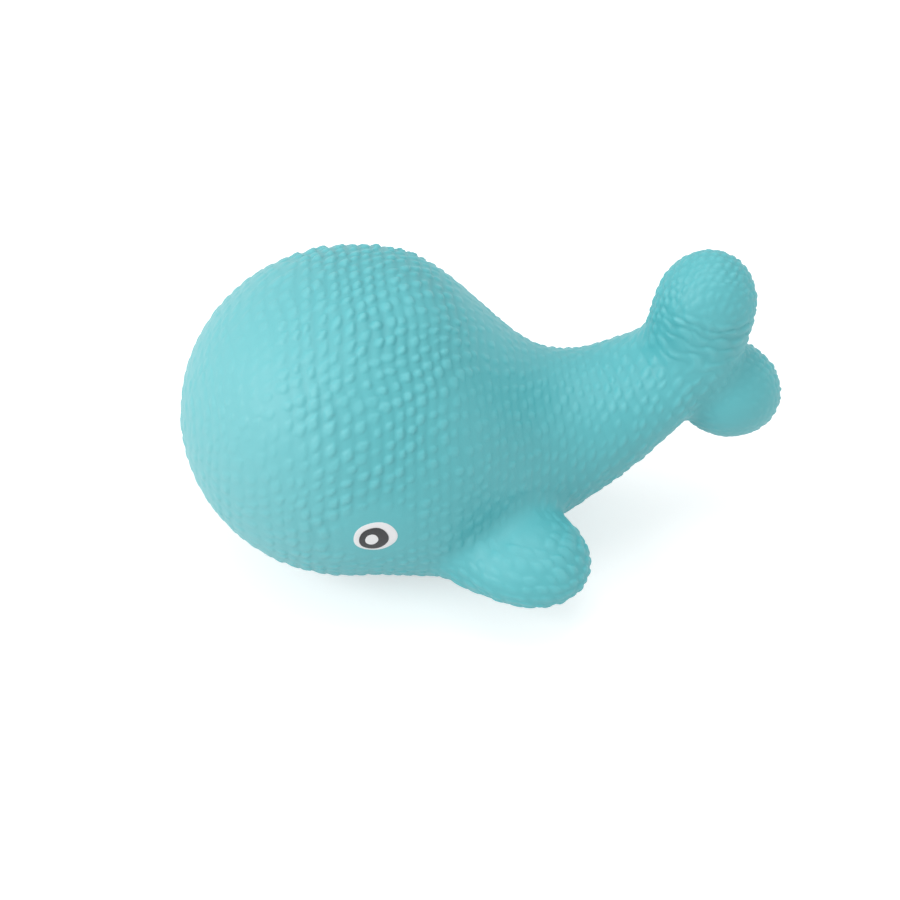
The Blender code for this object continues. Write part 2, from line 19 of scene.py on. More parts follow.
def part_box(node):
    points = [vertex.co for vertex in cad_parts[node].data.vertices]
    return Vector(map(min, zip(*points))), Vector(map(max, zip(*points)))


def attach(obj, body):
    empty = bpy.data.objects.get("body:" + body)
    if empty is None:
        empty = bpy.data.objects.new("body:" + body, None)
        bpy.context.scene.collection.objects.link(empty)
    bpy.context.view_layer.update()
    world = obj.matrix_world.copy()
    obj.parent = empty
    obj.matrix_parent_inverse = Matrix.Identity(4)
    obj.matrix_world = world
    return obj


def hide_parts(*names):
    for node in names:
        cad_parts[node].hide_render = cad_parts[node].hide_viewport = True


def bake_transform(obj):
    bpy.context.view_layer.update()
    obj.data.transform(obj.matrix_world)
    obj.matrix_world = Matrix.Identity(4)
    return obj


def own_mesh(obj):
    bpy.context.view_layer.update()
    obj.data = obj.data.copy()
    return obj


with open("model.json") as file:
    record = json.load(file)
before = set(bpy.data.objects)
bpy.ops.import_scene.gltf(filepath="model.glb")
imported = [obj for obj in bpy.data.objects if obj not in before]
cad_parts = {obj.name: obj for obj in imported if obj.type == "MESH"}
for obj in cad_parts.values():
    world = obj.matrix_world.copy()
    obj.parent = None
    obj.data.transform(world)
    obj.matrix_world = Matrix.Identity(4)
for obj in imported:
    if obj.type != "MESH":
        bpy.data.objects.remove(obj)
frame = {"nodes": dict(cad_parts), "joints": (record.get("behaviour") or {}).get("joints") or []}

bl_info = {
    "name": "Squeaky Whale",
    "version": (1, 0, 0),
    "blender": (4, 5, 0),
    "location": "View3D > Sidebar > Whale",
    "description": "Models a stuffed latex whale dog toy around its CAD frame",
    "category": "Object",
}

SIDES = {"left": -1.0, "right": 1.0}

# Step over which the slope of a distance is taken, and the least slope squared that is trusted
PROBE = 2e-5
LEAST_STEEPNESS = 0.2

# Power that lets the tallest of some overlapping nubs win, and the step in which the number of nubs in a
# ring changes, so that most rings match their neighbours
NUB_POWER = 6
COUNT_STEP = 8

# Where the nubs change: each pair is where a change starts and where it ends. Nose, head and stem count
# back from the head's widest section, the neck from its slanting edge, and crown, cheek and chin upwards.
NOSE_FADE = (-0.027, -0.003)
HEAD_BACK = (-0.012, 0.018)
NECK_FADE = (-0.008, 0.013)
CROWN_FADE = (0.0405, 0.027)
CHEEK_FADE = (0.027, 0.016)
CHIN_GROWTH = (0.005, -0.010)
STEM_START = (0.015, 0.030)
STEM_BEND = (0.045, 0.075)
STEM_END = (0.045, 0.060)


def length(name, description, default):
    return FloatProperty(name=name, description=description, default=default, unit="LENGTH", precision=5)


def lengths(name, description, default):
    count = len(default)
    return FloatVectorProperty(
        name=name, description=description, default=default, size=count, unit="LENGTH", precision=5
    )


def angle(name, description, degrees):
    default = math.radians(degrees)
    return FloatProperty(name=name, description=description, default=default, subtype="ANGLE")


def share(name, description, default):
    return FloatProperty(name=name, description=description, default=default, min=0.0)


def power(name, description, default):
    return FloatProperty(name=name, description=description, default=default, unit="POWER")


def colour(name, description, default):
    return FloatVectorProperty(
        name=name, description=description, default=default, size=3, subtype="COLOR", min=0.0, max=1.0
    )


class WhaleSkinSettings(PropertyGroup):
    """The smooth form of the latex skin and the places where it is parted."""

    station_backs: lengths(
        "Stations", "Distance of each section behind the head", (0.0, 0.024, 0.048, 0.069, 0.0884)
    )
    station_tops: lengths("Tops", "Top of each section", (0.0398, 0.0322, 0.0097, 0.0116, 0.0217))
    station_bottoms: lengths(
        "Bottoms", "Bottom of each section", (-0.0425, -0.0457, -0.0363, -0.0217, -0.0022)
    )
    station_half_widths: lengths(
        "Half widths", "Half the width of each section", (0.0407, 0.0378, 0.0232, 0.0169, 0.0118)
    )
    nose_length: length("Nose", "From the head's widest section to the tip of the nose", 0.042)
    nose_drop: length("Nose drop", "How far the tip of the nose lies below the head's middle", 0.0002)
    stem_end_round: length("Stem end", "Length of the rounded end of the tail stem", 0.007)
    belly_flat_depth: length("Belly flat", "Depth that the flat takes off the round belly", 0.0036)
    belly_edge: length("Belly edge", "Reach of the rounding at the edge of the flat", 0.003)
    fluke_radii: lengths("Fluke size", "Half length, thickness and width", (0.0148, 0.0116, 0.0126))
    upper_fluke_place: lengths("Upper fluke", "Middle of the upper fluke: back, up", (0.0876, 0.0237))
    upper_fluke_tilt: angle("Upper tilt", "Rise of the upper fluke's length", 77.0)
    lower_fluke_place: lengths("Lower fluke", "Middle of the lower fluke: back, up", (0.0947, -0.0026))
    lower_fluke_tilt: angle("Lower tilt", "Rise of the lower fluke's length", -37.0)
    fluke_root_place: lengths("Fluke root", "Middle of the upper one's root: back, up", (0.0858, 0.0162))
    fluke_root_radii: lengths(
        "Fluke root size", "Half length, thickness and width of the root", (0.0110, 0.0104, 0.0113)
    )
    upper_fluke_fillet: length("Upper fillet", "Reach of the fillet at the upper fluke's root", 0.007)
    lower_fluke_fillet: length("Lower fillet", "Reach of the fillet at the lower fluke's root", 0.0035)
    flipper_place: lengths("Flipper place", "A flipper's root: back, out, up", (0.0374, 0.0316, -0.0229))
    flipper_radii: lengths("Flipper size", "Length, half width, half thickness", (0.02, 0.0155, 0.0098))
    flipper_sweep: angle("Flipper sweep", "Turn of a flipper away from straight back", 45.0)
    flipper_dip: angle("Flipper dip", "Fall of a flipper's length", 3.5)
    flipper_root_place: lengths(
        "Flipper root", "Middle of a flipper's broad root: back, out, up", (0.0302, 0.0282, -0.0256)
    )
    flipper_root_radii: lengths(
        "Flipper root size", "Length, half width, half thickness of the root", (0.0115, 0.0120, 0.0070)
    )
    flipper_fillet: length("Flipper fillet", "Reach of the fillet at a flipper's root", 0.005)
    root_fillet: length("Root fillet", "Reach of the fillet between a lobe and its root", 0.004)
    grain: length("Grain", "Distance between the points of the skin's mesh", 0.0004)
    tail_part: length("Tail part", "How far back the tail is parted from the trunk", 0.053)
    tail_bend_length: length("Tail bend", "Length of stem over which the tail bends", 0.026)
    flipper_part: length("Flipper part", "How far out a flipper is parted from the trunk", 0.006)
    flipper_part_reach: lengths("Part reach", "Half width and half height of its cut", (0.0205, 0.017))
    flipper_bend_length: length("Flipper bend", "Length over which a flipper bends", 0.011)
    dome_height: length("Dome height", "Height of the dome's lower edge over the head's middle", 0.0045)
    dome_tilt: angle("Dome tilt", "Backward rise of the dome's lower edge", 17.0)
    dome_keep: share("Dome keep", "Share of the dome's height that a full squeeze leaves", 0.86)
    nose_part: length("Nose part", "How far back the nose is parted from the trunk", 0.004)
    hole_radius: length("Filling hole", "Radius of the filling hole in the belly", 0.0060)
    hole_rim: length("Hole rim", "Rounding of the filling hole's edge", 0.0004)
    hole_wall: length("Hole wall", "Height of the filling hole's wall", 0.0022)


class WhaleNubSettings(PropertyGroup):
    """The moulded nubs of the skin."""

    pitch_along: length("Pitch along", "Distance from one ring of nubs to the next", 0.0036)
    pitch_round: length("Pitch round", "Distance between nubs in a ring", 0.0040)
    crowd: share("Crowd", "How much closer the nubs are from the back of the head to the tail", 0.3)
    flipper_crowd: share("Flipper crowd", "How many times closer the nubs of a flipper are", 1.05)
    fluke_crowd: share("Fluke crowd", "How many times closer the nubs of a fluke are", 1.6)
    depth: length("Depth", "Height of a nub over the hollows round it", 0.0009)
    jitter: share("Jitter", "How far a nub strays from its place, as a share of the pitch", 0.34)
    reaches: FloatVectorProperty(
        name="Reaches",
        description="Half size of a nub along and across its slant, as a share of the pitch",
        default=(0.62, 0.44),
        size=2,
    )
    slant: angle("Slant", "Turn of the nubs away from the toy's length", 46.0)
    lean: share("Lean", "How much a nub's top leans one way or another", 1.3)
    ridge: share("Ridge", "Height of the ridge that joins the nubs of a ring, as a share of a nub", 0.2)
    fluke_ridge: share("Fluke ridge", "Height of that ridge at the root of the upper fluke", 0.28)
    fluke_stretch: share("Fluke stretch", "How much longer the nubs at the same root are", 1.35)
    waver: length("Waver", "How far the rings of nubs stray from true", 0.0010)
    waver_size: length("Waver size", "Distance over which the rings stray to and fro", 0.024)
    swell: length("Swell", "How far the skin swells and sinks under the nubs", 0.00016)
    eye_clear: length("Eye clear", "Radius of the smooth patch under an eye", 0.0064)


class WhaleEyeSettings(PropertyGroup):
    """The painted eyes. The shifts count from the middle of an eye's seat."""

    white_radii: lengths("White", "Half width and half height of the white", (0.0052, 0.0052))
    white_shift: lengths("White shift", "How far the white lies ahead and under", (0.0, 0.0008))
    iris_radii: lengths("Iris", "Half width and half height of the dark spot", (0.0035, 0.0040))
    iris_shift: lengths("Iris shift", "How far the dark spot lies ahead and under", (0.0004, 0.0013))
    glint_radii: lengths("Glint", "Half width and half height of the glint", (0.00155, 0.0019))
    glint_shift: lengths("Glint shift", "How far the glint lies ahead and under", (0.0009, 0.0014))
    film: length("Film", "Thickness of the film of white paint", 0.0003)
    lift: length("Lift", "How far each film stands over the one below", 0.00008)


class WhaleFillingSettings(PropertyGroup):
    """The wadding and the squeaker."""

    lump: length("Lump", "Depth of the hollows between lumps of wadding", 0.0016)
    lump_size: length("Lump size", "Size of a lump of wadding", 0.012)
    clearance: length("Clearance", "Least gap between the wadding and the skin", 0.0002)
    grain: length("Grain", "Distance between the points of the wadding's mesh", 0.0013)
    bellows_folds: FloatProperty(name="Folds", description="Number of folds in the bellows", default=4.0)
    bellows_fold_depth: length("Fold depth", "Depth of a fold of the bellows", 0.0022)
    bellows_wall: length("Bellows wall", "Thickness of the bellows", 0.0008)


class WhaleColourSettings(PropertyGroup):
    """The colours. All but the skin's drift between a dim and a bright one."""

    # Painted shade and light: the latex colours follow the nub height, darker in the grooves and hollows
    # where shade falls and lighter on the nub tops
    latex_groove_painted_shade: colour("Groove", "Latex in the deepest grooves", (0.066, 0.400, 0.440))
    latex_hollow_painted_shade: colour("Hollow", "Latex in the hollows between nubs", (0.100, 0.495, 0.538))
    latex_slope: colour("Slope", "Latex on the sides of the nubs", (0.118, 0.533, 0.578))
    # Painted light: the nub tops are made lighter as if lit more, not worn
    latex_crest_painted_light: colour("Crest", "Latex on the worn tops of the nubs", (0.146, 0.565, 0.608))
    latex_cloud: colour("Cloud", "Tint of the duller patches of latex", (0.90, 0.94, 0.94))
    # Painted highlight: the latex is made paler towards the nose, where light reflects broadly off the
    # front of the head
    latex_nose_highlight: colour("Nose", "Paler latex of the nose", (0.185, 0.565, 0.600))
    nose_highlight_share: share("Nose share", "Share of the paler latex at the tip of the nose", 0.85)
    nose_highlight_reach: lengths("Nose reach", "Distance from the tip to no and full paleness", (0.055, 0.004))
    white_dim: colour("White, dim", "White of the eyes and glints", (0.90, 0.90, 0.91))
    white_bright: colour("White, bright", "White of the eyes and glints", (0.94, 0.94, 0.95))
    dark_dim: colour("Charcoal, dim", "Dark spots of the eyes", (0.018, 0.018, 0.021))
    dark_bright: colour("Charcoal, bright", "Dark spots of the eyes", (0.026, 0.026, 0.029))
    fibre_dim: colour("Fibre, dim", "Wadding", (0.74, 0.73, 0.70))
    fibre_bright: colour("Fibre, bright", "Wadding", (0.90, 0.89, 0.87))
    milky_dim: colour("Milky, dim", "Plastic of the squeaker", (0.74, 0.75, 0.72))
    milky_bright: colour("Milky, bright", "Plastic of the squeaker", (0.82, 0.82, 0.80))
    reed_dim: colour("Reed, dim", "Film of the reed", (0.56, 0.17, 0.13))
    reed_bright: colour("Reed, bright", "Film of the reed", (0.64, 0.21, 0.17))
    plug_dim: colour("Plug, dim", "Latex of the closing plug", (0.105, 0.480, 0.510))
    plug_bright: colour("Plug, bright", "Latex of the closing plug", (0.150, 0.560, 0.590))


class WhaleStageSettings(PropertyGroup):
    """Camera, lights and floor."""

    azimuth: angle("Azimuth", "Turn of the camera round the toy", -6.5)
    elevation: angle("Elevation", "Height of the camera over the horizon", 41.0)
    distance: length("Distance", "From the camera to the head's middle", 0.6197)
    lens: FloatProperty(name="Lens", description="Focal length in millimetres", default=100.0)
    head_across: share("Head across", "Place of the head's middle across the picture", 0.3894)
    head_down: share("Head down", "Place of the head's middle down the picture", 0.4515)
    key_place: lengths("Key place", "Where the main light stands", (-0.75, -0.35, 0.60))
    key_size: length("Key size", "Width of the main light", 0.40)
    key_power: power("Key", "Power of the main light", 3.0)
    top_place: lengths("Top place", "Where the light above hangs", (0.0, 0.05, 1.05))
    top_size: length("Top size", "Width of the light above", 0.70)
    top_power: power("Top", "Power of the light above", 2.3)
    sky: share("Sky", "Strength of the even light from all round", 0.75)
    floor_colour: colour("Floor", "Colour of the floor", (0.7, 0.7, 0.7))
    floor_glow: share("Floor glow", "How much whiter the floor looks than it is lit", 0.55)


def select_only(*things):
    bpy.ops.object.select_all(action="DESELECT")
    for thing in things:
        thing.select_set(True)
    bpy.context.view_layer.objects.active = things[0]


def points_of(thing):
    flat = np.empty(len(thing.data.vertices) * 3, np.float32)
    thing.data.vertices.foreach_get("co", flat)
    return flat.reshape(-1, 3).astype(float)


def move_points(thing, points):
    thing.data.vertices.foreach_set("co", points.astype(np.float32).ravel())
    thing.data.update()


def normals_of(thing):
    flat = np.empty(len(thing.data.vertices) * 3, np.float32)
    thing.data.vertex_normals.foreach_get("vector", flat)
    return flat.reshape(-1, 3)


def add_object(name, data):
    made = bpy.data.objects.new(name, data)
    bpy.context.scene.collection.objects.link(made)
    return made


def object_from(bm, name):
    """A new object with the mesh in bm, which is freed."""
    mesh = bpy.data.meshes.new(name)
    bm.to_mesh(mesh)
    bm.free()
    return add_object(name, mesh)


def remesh(thing, grain):
    select_only(thing)
    thing.data.remesh_voxel_size = grain
    thing.data.remesh_voxel_adaptivity = 0.0
    bpy.ops.object.voxel_remesh()


def face_outwards(thing, merge=0.0):
    """Turns all faces outwards, after points closer than merge are joined."""
    select_only(thing)
    bpy.ops.object.mode_set(mode="EDIT")
    bpy.ops.mesh.select_all(action="SELECT")
    if merge > 0:
        bpy.ops.mesh.remove_doubles(threshold=merge)
    bpy.ops.mesh.normals_make_consistent(inside=False)
    bpy.ops.object.mode_set(mode="OBJECT")


def even_out(thing, rounds):
    even = thing.modifiers.new("even", "SMOOTH")
    even.factor = 0.5
    even.iterations = rounds
    apply_modifiers(thing)


def apply_modifiers(thing):
    select_only(thing)
    for name in [modifier.name for modifier in thing.modifiers]:
        bpy.ops.object.modifier_apply(modifier=name)


def smooth_step(low, high, value):
    t = np.clip((value - low) / (high - low), 0.0, 1.0)
    return t * t * (3 - 2 * t)


def soft_least(a, b, reach):
    """The lesser of two distances, with a fillet where they come within reach of each other."""
    h = np.clip(0.5 + 0.5 * (b - a) / reach, 0.0, 1.0)
    return b + (a - b) * h - reach * h * (1 - h)


def cubic_curve(places, values):
    """A cubic curve through the given points, level at its first point and free at its last."""
    places = np.array(places)
    values = np.array(values)
    count = len(places)
    steps = np.diff(places)
    slopes = np.diff(values) / steps
    matrix = np.zeros((count, count))
    right = np.zeros(count)
    matrix[0, :2] = 2 * steps[0], steps[0]
    right[0] = 6 * slopes[0]
    for i in range(1, count - 1):
        matrix[i, i - 1 : i + 2] = steps[i - 1], 2 * (steps[i - 1] + steps[i]), steps[i]
        right[i] = 6 * (slopes[i] - slopes[i - 1])
    matrix[-1, -1] = 1
    bends = np.linalg.solve(matrix, right)

    def value_at(place):
        place = np.clip(place, places[0], places[-1])
        i = np.clip(np.searchsorted(places, place) - 1, 0, count - 2)
        step = steps[i]
        before = (places[i + 1] - place) / step
        after = (place - places[i]) / step
        bend = (before**3 - before) * bends[i] + (after**3 - after) * bends[i + 1]
        return before * values[i] + after * values[i + 1] + bend * step**2 / 6

    return value_at


def sweep_axes(sweep, rise):
    """Axes of a lobe as columns: along its length, across it and through its thickness."""
    turn = Matrix.Rotation(sweep, 3, "Z") @ Matrix.Rotation(-rise, 3, "Y")
    return np.array(turn)


def probe(field, points, here):
    """Change of a distance over a small step along each axis."""
    return np.array([field(points + PROBE * axis) - here for axis in np.eye(3)])


def egg_distance(points, place, axes, radii):
    local = (points - place) @ axes
    near = np.linalg.norm(local / radii, axis=1)
    steep = np.linalg.norm(local / radii**2, axis=1)
    return near * (near - 1) / np.maximum(steep, 1e-9)


class WhaleForm:
    """The whale's smooth outside, as distances from its body, flukes and flippers."""

    def __init__(self, sizes):
        self.sizes = sizes
        backs = tuple(sizes.station_backs)
        self.end = backs[-1]
        self.top = cubic_curve(backs, tuple(sizes.station_tops))
        self.bottom = cubic_curve(backs, tuple(sizes.station_bottoms))
        self.half_width = cubic_curve(backs, tuple(sizes.station_half_widths))
        along = np.linspace(0.0, self.end, 400)
        self.floor = float(self.bottom(along).min()) + sizes.belly_flat_depth
        joint = next(j for j in frame["joints"] if j["name"] == "flipper_left_flap")
        back, out, up = sizes.flipper_place
        self.origin = np.array(joint["pos_m"]) - np.array((back, -out, up))
        self.lobes = {}
        for name, place, tilt in (
            ("fluke_upper", sizes.upper_fluke_place, sizes.upper_fluke_tilt),
            ("fluke_lower", sizes.lower_fluke_place, sizes.lower_fluke_tilt),
            ("fluke_root", sizes.fluke_root_place, sizes.upper_fluke_tilt),
        ):
            place = np.array((place[0], 0.0, place[1]))
            radii = sizes.fluke_root_radii if name == "fluke_root" else sizes.fluke_radii
            self.lobes[name] = place, sweep_axes(0.0, tilt), np.array(radii)
        for name, side in SIDES.items():
            axes = sweep_axes(side * sizes.flipper_sweep, -sizes.flipper_dip)
            place = np.array((back, side * out, up))
            self.lobes[f"flipper_{name}"] = place, axes, np.array(sizes.flipper_radii)
            place = np.array(sizes.flipper_root_place) * (1.0, side, 1.0)
            self.lobes[f"flipper_root_{name}"] = place, axes, np.array(sizes.flipper_root_radii)
        self.ring_table()

    def section(self, x):
        """Middle, half height and half width of the body at x, before the ends are rounded."""
        top = self.top(x)
        bottom = self.bottom(x)
        drop = self.sizes.nose_drop * (np.minimum(x, 0.0) / self.sizes.nose_length) ** 2
        return (top + bottom) / 2 - drop, (top - bottom) / 2, self.half_width(x)

    def end_share(self, x):
        """Share of the section that the rounding of the nose and of the stem's end leaves at x."""
        ahead = np.clip(-x / self.sizes.nose_length, 0, 1)
        behind = np.clip((x - self.end) / self.sizes.stem_end_round, 0, 1)
        return np.sqrt(1 - ahead**2) * np.sqrt(1 - behind**2)

    def ring_table(self):
        """Distance along the skin from the head's widest ring, and mean radius there, against x."""
        nose_rings = 200
        body_rings = 600
        nose = -self.sizes.nose_length * np.cos(np.linspace(0, np.pi / 2, nose_rings))
        rest = np.linspace(0, self.end + self.sizes.stem_end_round, body_rings)[1:]
        x = np.concatenate([nose, rest])
        _, high, wide = self.section(x)
        radius = np.sqrt(high * wide) * self.end_share(x)
        step = np.hypot(np.diff(x), np.diff(radius))
        run = np.concatenate([[0.0], np.cumsum(step)])
        self.ring_x = x
        self.ring_run = run - run[nose_rings - 1]
        self.ring_radius = radius

    def body_value(self, points):
        x, y, z = points.T
        middle, high, wide = self.section(x)
        ahead = np.minimum(x, 0.0) / self.sizes.nose_length
        behind = np.maximum(x - self.end, 0.0) / self.sizes.stem_end_round
        return np.sqrt(ahead**2 + behind**2 + (y / wide) ** 2 + ((z - middle) / high) ** 2) - 1

    def body(self, points):
        """Distance from the head, belly and tail stem, cut flat under the belly."""
        value = self.body_value(points)
        slope = np.linalg.norm(probe(self.body_value, points, value), axis=0) / PROBE
        distance = value / np.maximum(slope, 1.0)
        return -soft_least(-distance, points[:, 2] - self.floor, self.sizes.belly_edge)

    def lobe(self, name, points):
        return egg_distance(points, *self.lobes[name])

    def rooted_lobe(self, name, root, points):
        return soft_least(self.lobe(name, points), self.lobe(root, points), self.sizes.root_fillet)

    def distance(self, points):
        """Distance from the whole form, with fillets where its parts meet."""
        sizes = self.sizes
        upper = self.rooted_lobe("fluke_upper", "fluke_root", points)
        found = soft_least(self.body(points), upper, sizes.upper_fluke_fillet)
        found = soft_least(found, self.lobe("fluke_lower", points), sizes.lower_fluke_fillet)
        for name in SIDES:
            flipper = self.rooted_lobe(f"flipper_{name}", f"flipper_root_{name}", points)
            found = soft_least(found, flipper, sizes.flipper_fillet)
        return found

    def settle(self, points, rounds):
        """Points moved on to the filleted form, and the form's outward directions there."""
        for _ in range(rounds):
            here = self.distance(points)
            slope = probe(self.distance, points, here).T / PROBE
            steepness = np.maximum((slope**2).sum(axis=1, keepdims=True), LEAST_STEEPNESS)
            points = points - here[:, None] * slope / steepness
        return points, slope / np.sqrt(steepness)

    def tail_bend(self):
        """Start and end of the stretch of stem over which the tail bends."""
        start = self.origin + np.array((self.sizes.tail_part, 0.0, 0.0))
        return start, start + np.array((self.sizes.tail_bend_length, 0.0, 0.0))


def scatter(row, column, salt):
    """An even spread of numbers from 0 to 1, the same for the same whole numbers."""
    n = row.astype(np.int64) * 374761393 + column.astype(np.int64) * 668265263 + salt * 974634821
    n = (n ^ ((n & 0xFFFFFFFF) >> 13)) * 1274126177
    n = (n ^ ((n & 0xFFFFFFFF) >> 16)) & 0xFFFFFFFF
    return n / 4294967296.0


def nub_field(run, turn, radius, rings, nubs, salt, stretch=1.0, ridge=0.0, slim=1.0):
    """Height of the nubs, from 0 in a hollow to about 1, at a distance run along rings round an axis.

    Turn is the angle round the axis, radius the distance from it, and rings gives the radius of the
    ring at a distance along. Stretch draws the nubs out round the axis, a ridge joins them, and slim
    narrows them where their rings are crowded.
    """
    total = np.zeros(len(run))
    pitch_round = nubs.pitch_round * stretch
    middle = np.round(run / nubs.pitch_along)
    for step in (-1, 0, 1):
        row = middle + step
        round_ring = 2 * np.pi * rings(row * nubs.pitch_along)
        count = np.maximum(COUNT_STEP * np.round(round_ring / pitch_round / COUNT_STEP), COUNT_STEP)
        spot = turn / (2 * np.pi) * count + 0.5 * (row % 2)
        off_ring = np.abs(run / nubs.pitch_along - row)
        total += (ridge * (1 - smooth_step(0.1, 0.5, off_ring))) ** NUB_POWER
        for side in (-1, 0, 1):
            column = np.round(spot) + side
            key = column % count
            stray_ahead, stray_aside, turned, size, bulk, lean_ahead, lean_aside, rise = (
                scatter(row, key, salt + number) for number in range(1, 9)
            )
            ahead = run / nubs.pitch_along - row - (stray_ahead - 0.5) * nubs.jitter
            aside = spot - column - (stray_aside - 0.5) * nubs.jitter
            aside = aside * 2 * np.pi * radius * slim / count / pitch_round
            spin = nubs.slant + 0.8 * (turned - 0.5)
            long_way = (ahead * np.cos(spin) + aside * np.sin(spin)) / nubs.reaches[0]
            cross_way = (aside * np.cos(spin) - ahead * np.sin(spin)) / nubs.reaches[1]
            grown = 0.8 + 0.4 * size
            block = 1.25 + 0.55 * bulk
            away = (np.abs(long_way) ** block + np.abs(cross_way) ** block) ** (1 / block) / grown
            tilt = (lean_ahead - 0.5) * ahead + (lean_aside - 0.5) * aside
            tall = 0.5 + 0.5 * rise + nubs.lean * tilt + 0.4 * ahead
            # A nub rises gently along the run and falls off steeply at its end
            edge = 0.05 + 0.45 * smooth_step(-0.25, 0.3, ahead - 0.4 * aside)
            total += np.maximum(tall * (1.0 - smooth_step(edge, 1.1, away)), 0.0) ** NUB_POWER
    return total ** (1 / NUB_POWER)


def body_nubs(form, points, nubs):
    """Nubs in upright rings, which lean square to the middle line of the tail stem."""
    x = np.clip(points[:, 0], form.ring_x[0], form.ring_x[-1])
    middle, high, wide = form.section(x)
    stem_rise = 0.55
    rise = stem_rise * smooth_step(*STEM_BEND, x)
    x = np.clip(x + (points[:, 2] - middle) * rise / (1 + rise**2), form.ring_x[0], form.ring_x[-1])
    crowd = 1 + nubs.crowd * smooth_step(*HEAD_BACK, form.ring_x)
    crowded_steps = np.diff(form.ring_run) * crowd[1:]
    ring_run = form.ring_run[0] + np.concatenate([[0.0], np.cumsum(crowded_steps)])
    slim = np.interp(x, form.ring_x, crowd)
    run = np.interp(x, form.ring_x, ring_run) + nubs.waver * slow_noise(points, nubs.waver_size, 3)
    radius = np.interp(x, form.ring_x, form.ring_radius)
    turn = np.arctan2((points[:, 2] - middle) / high, -points[:, 1] / wide)
    turn += nubs.waver * slow_noise(points, nubs.waver_size, 9) / np.maximum(radius, 0.005)

    def rings(runs):
        return np.interp(runs, ring_run, form.ring_radius)

    return nub_field(run, turn, radius, rings, nubs, 11, ridge=nubs.ridge, slim=slim)


def egg_nubs(local, radii, pole, nubs, salt, stray, crowd, **drawn):
    """Nubs in crowded rings round one axis of an egg, with calm patches at the two poles."""
    first, second = (axis for axis in range(3) if axis != pole)
    across = math.sqrt(radii[first] * radii[second])
    long_run = (radii[pole] + across) / 2
    polar = np.arcsin(np.clip(local[:, pole], -1, 1))
    turn = np.arctan2(local[:, second], -local[:, first])

    def rings(runs):
        return across * np.cos(np.clip(runs / crowd / long_run, -np.pi / 2, np.pi / 2))

    run = crowd * polar * long_run
    found = nub_field(run + crowd * stray, turn, rings(run), rings, nubs, salt, **drawn)
    calm_height = 0.45
    return found + (calm_height - found) * smooth_step(1.1, 1.4, np.abs(polar))


def lobe_nubs(form, name, points, nubs, salt):
    """Nubs of a flipper, or of a fluke, with ridges round the root of the upper one."""
    place, axes, radii = form.lobes[name]
    local = (points - place) @ axes / radii
    local = local / np.maximum(np.linalg.norm(local, axis=1, keepdims=True), 1e-6)
    length_axis, side_axis, upright_axis = range(3)
    stray = 0.8 * nubs.waver * slow_noise(points, nubs.waver_size / 2, salt)
    if name.startswith("flipper"):
        crowd = nubs.flipper_crowd
        return egg_nubs(local, radii, upright_axis, nubs, salt, stray, crowd, stretch=1 / crowd)
    crowd = nubs.fluke_crowd
    plain = egg_nubs(local, radii, side_axis, nubs, salt, stray, crowd, stretch=1 / crowd)
    side = np.abs(local[:, side_axis])
    # The nubs of a fluke are lower on its two sides
    cap = 0.5 + (0.75 - 0.4 * smooth_step(0.35, 0.75, side)) * (plain - 0.47)
    if name == "fluke_lower":
        return cap
    ridge_waver_size = 0.007
    stray = 0.6 * nubs.waver * slow_noise(points, ridge_waver_size, 13)
    look = {"stretch": nubs.fluke_stretch, "ridge": nubs.fluke_ridge}
    drawn = egg_nubs(local, radii, length_axis, nubs, salt, stray, crowd, **look)
    ridged = (1 - smooth_step(0.05, 0.4, local[:, length_axis])) * smooth_step(0.25, 0.75, side)
    return cap + (drawn - cap) * ridged


def slow_noise(points, size, salt):
    """Smooth noise from -1 to 1 made of a few waves in fixed directions."""
    total = np.zeros(len(points))
    for i in range(9):
        number = np.array([i])
        lift = 2 * scatter(number, number + 1, salt) - 1
        spin = 2 * np.pi * scatter(number, number + 2, salt)
        flat = np.sqrt(1 - lift**2)
        way = np.concatenate([flat * np.cos(spin), flat * np.sin(spin), lift])
        pace = 0.7 + 0.9 * scatter(number, number + 3, salt)
        shift = 6.28 * scatter(number, number + 4, salt)
        total += np.sin(points @ way * 2 * np.pi * pace / size + shift)
    return np.clip(total / 4.0, -1, 1)


def body_start(form):
    """A sphere drawn out over the sections of the body."""
    bpy.ops.mesh.primitive_uv_sphere_add(segments=72, ring_count=90, radius=1.0)
    made = bpy.context.object
    select_only(made)
    bpy.ops.transform.rotate(value=math.pi / 2, orient_axis="Y", center_override=(0, 0, 0))
    bpy.ops.object.transform_apply(location=False, rotation=True, scale=False)
    ball = points_of(made)
    polar = np.arccos(np.clip(-ball[:, 0], -1, 1)) / np.pi
    x = np.interp(polar, np.linspace(0, 1, len(form.ring_x)), form.ring_x)
    middle, high, wide = form.section(x)
    grown = form.end_share(x)
    turn = np.arctan2(ball[:, 2], ball[:, 1])
    y = wide * grown * np.cos(turn)
    z = middle + high * grown * np.sin(turn)
    move_points(made, np.stack([x, y, np.maximum(z, form.floor)], axis=1))
    return made


def lobe_start(form, name):
    bpy.ops.mesh.primitive_uv_sphere_add(segments=48, ring_count=32, radius=1.0)
    made = bpy.context.object
    place, axes, radii = form.lobes[name]
    move_points(made, (points_of(made) * radii) @ axes.T + place)
    return made


def skin_form(form):
    """The body, flukes and flippers joined, remeshed as one skin and evened out at their creases."""
    parts = [body_start(form)] + [lobe_start(form, name) for name in form.lobes]
    select_only(*parts)
    bpy.ops.object.join()
    skin = bpy.context.object
    remesh(skin, form.sizes.grain)
    face_outwards(skin)
    even_out(skin, rounds=24)
    return skin


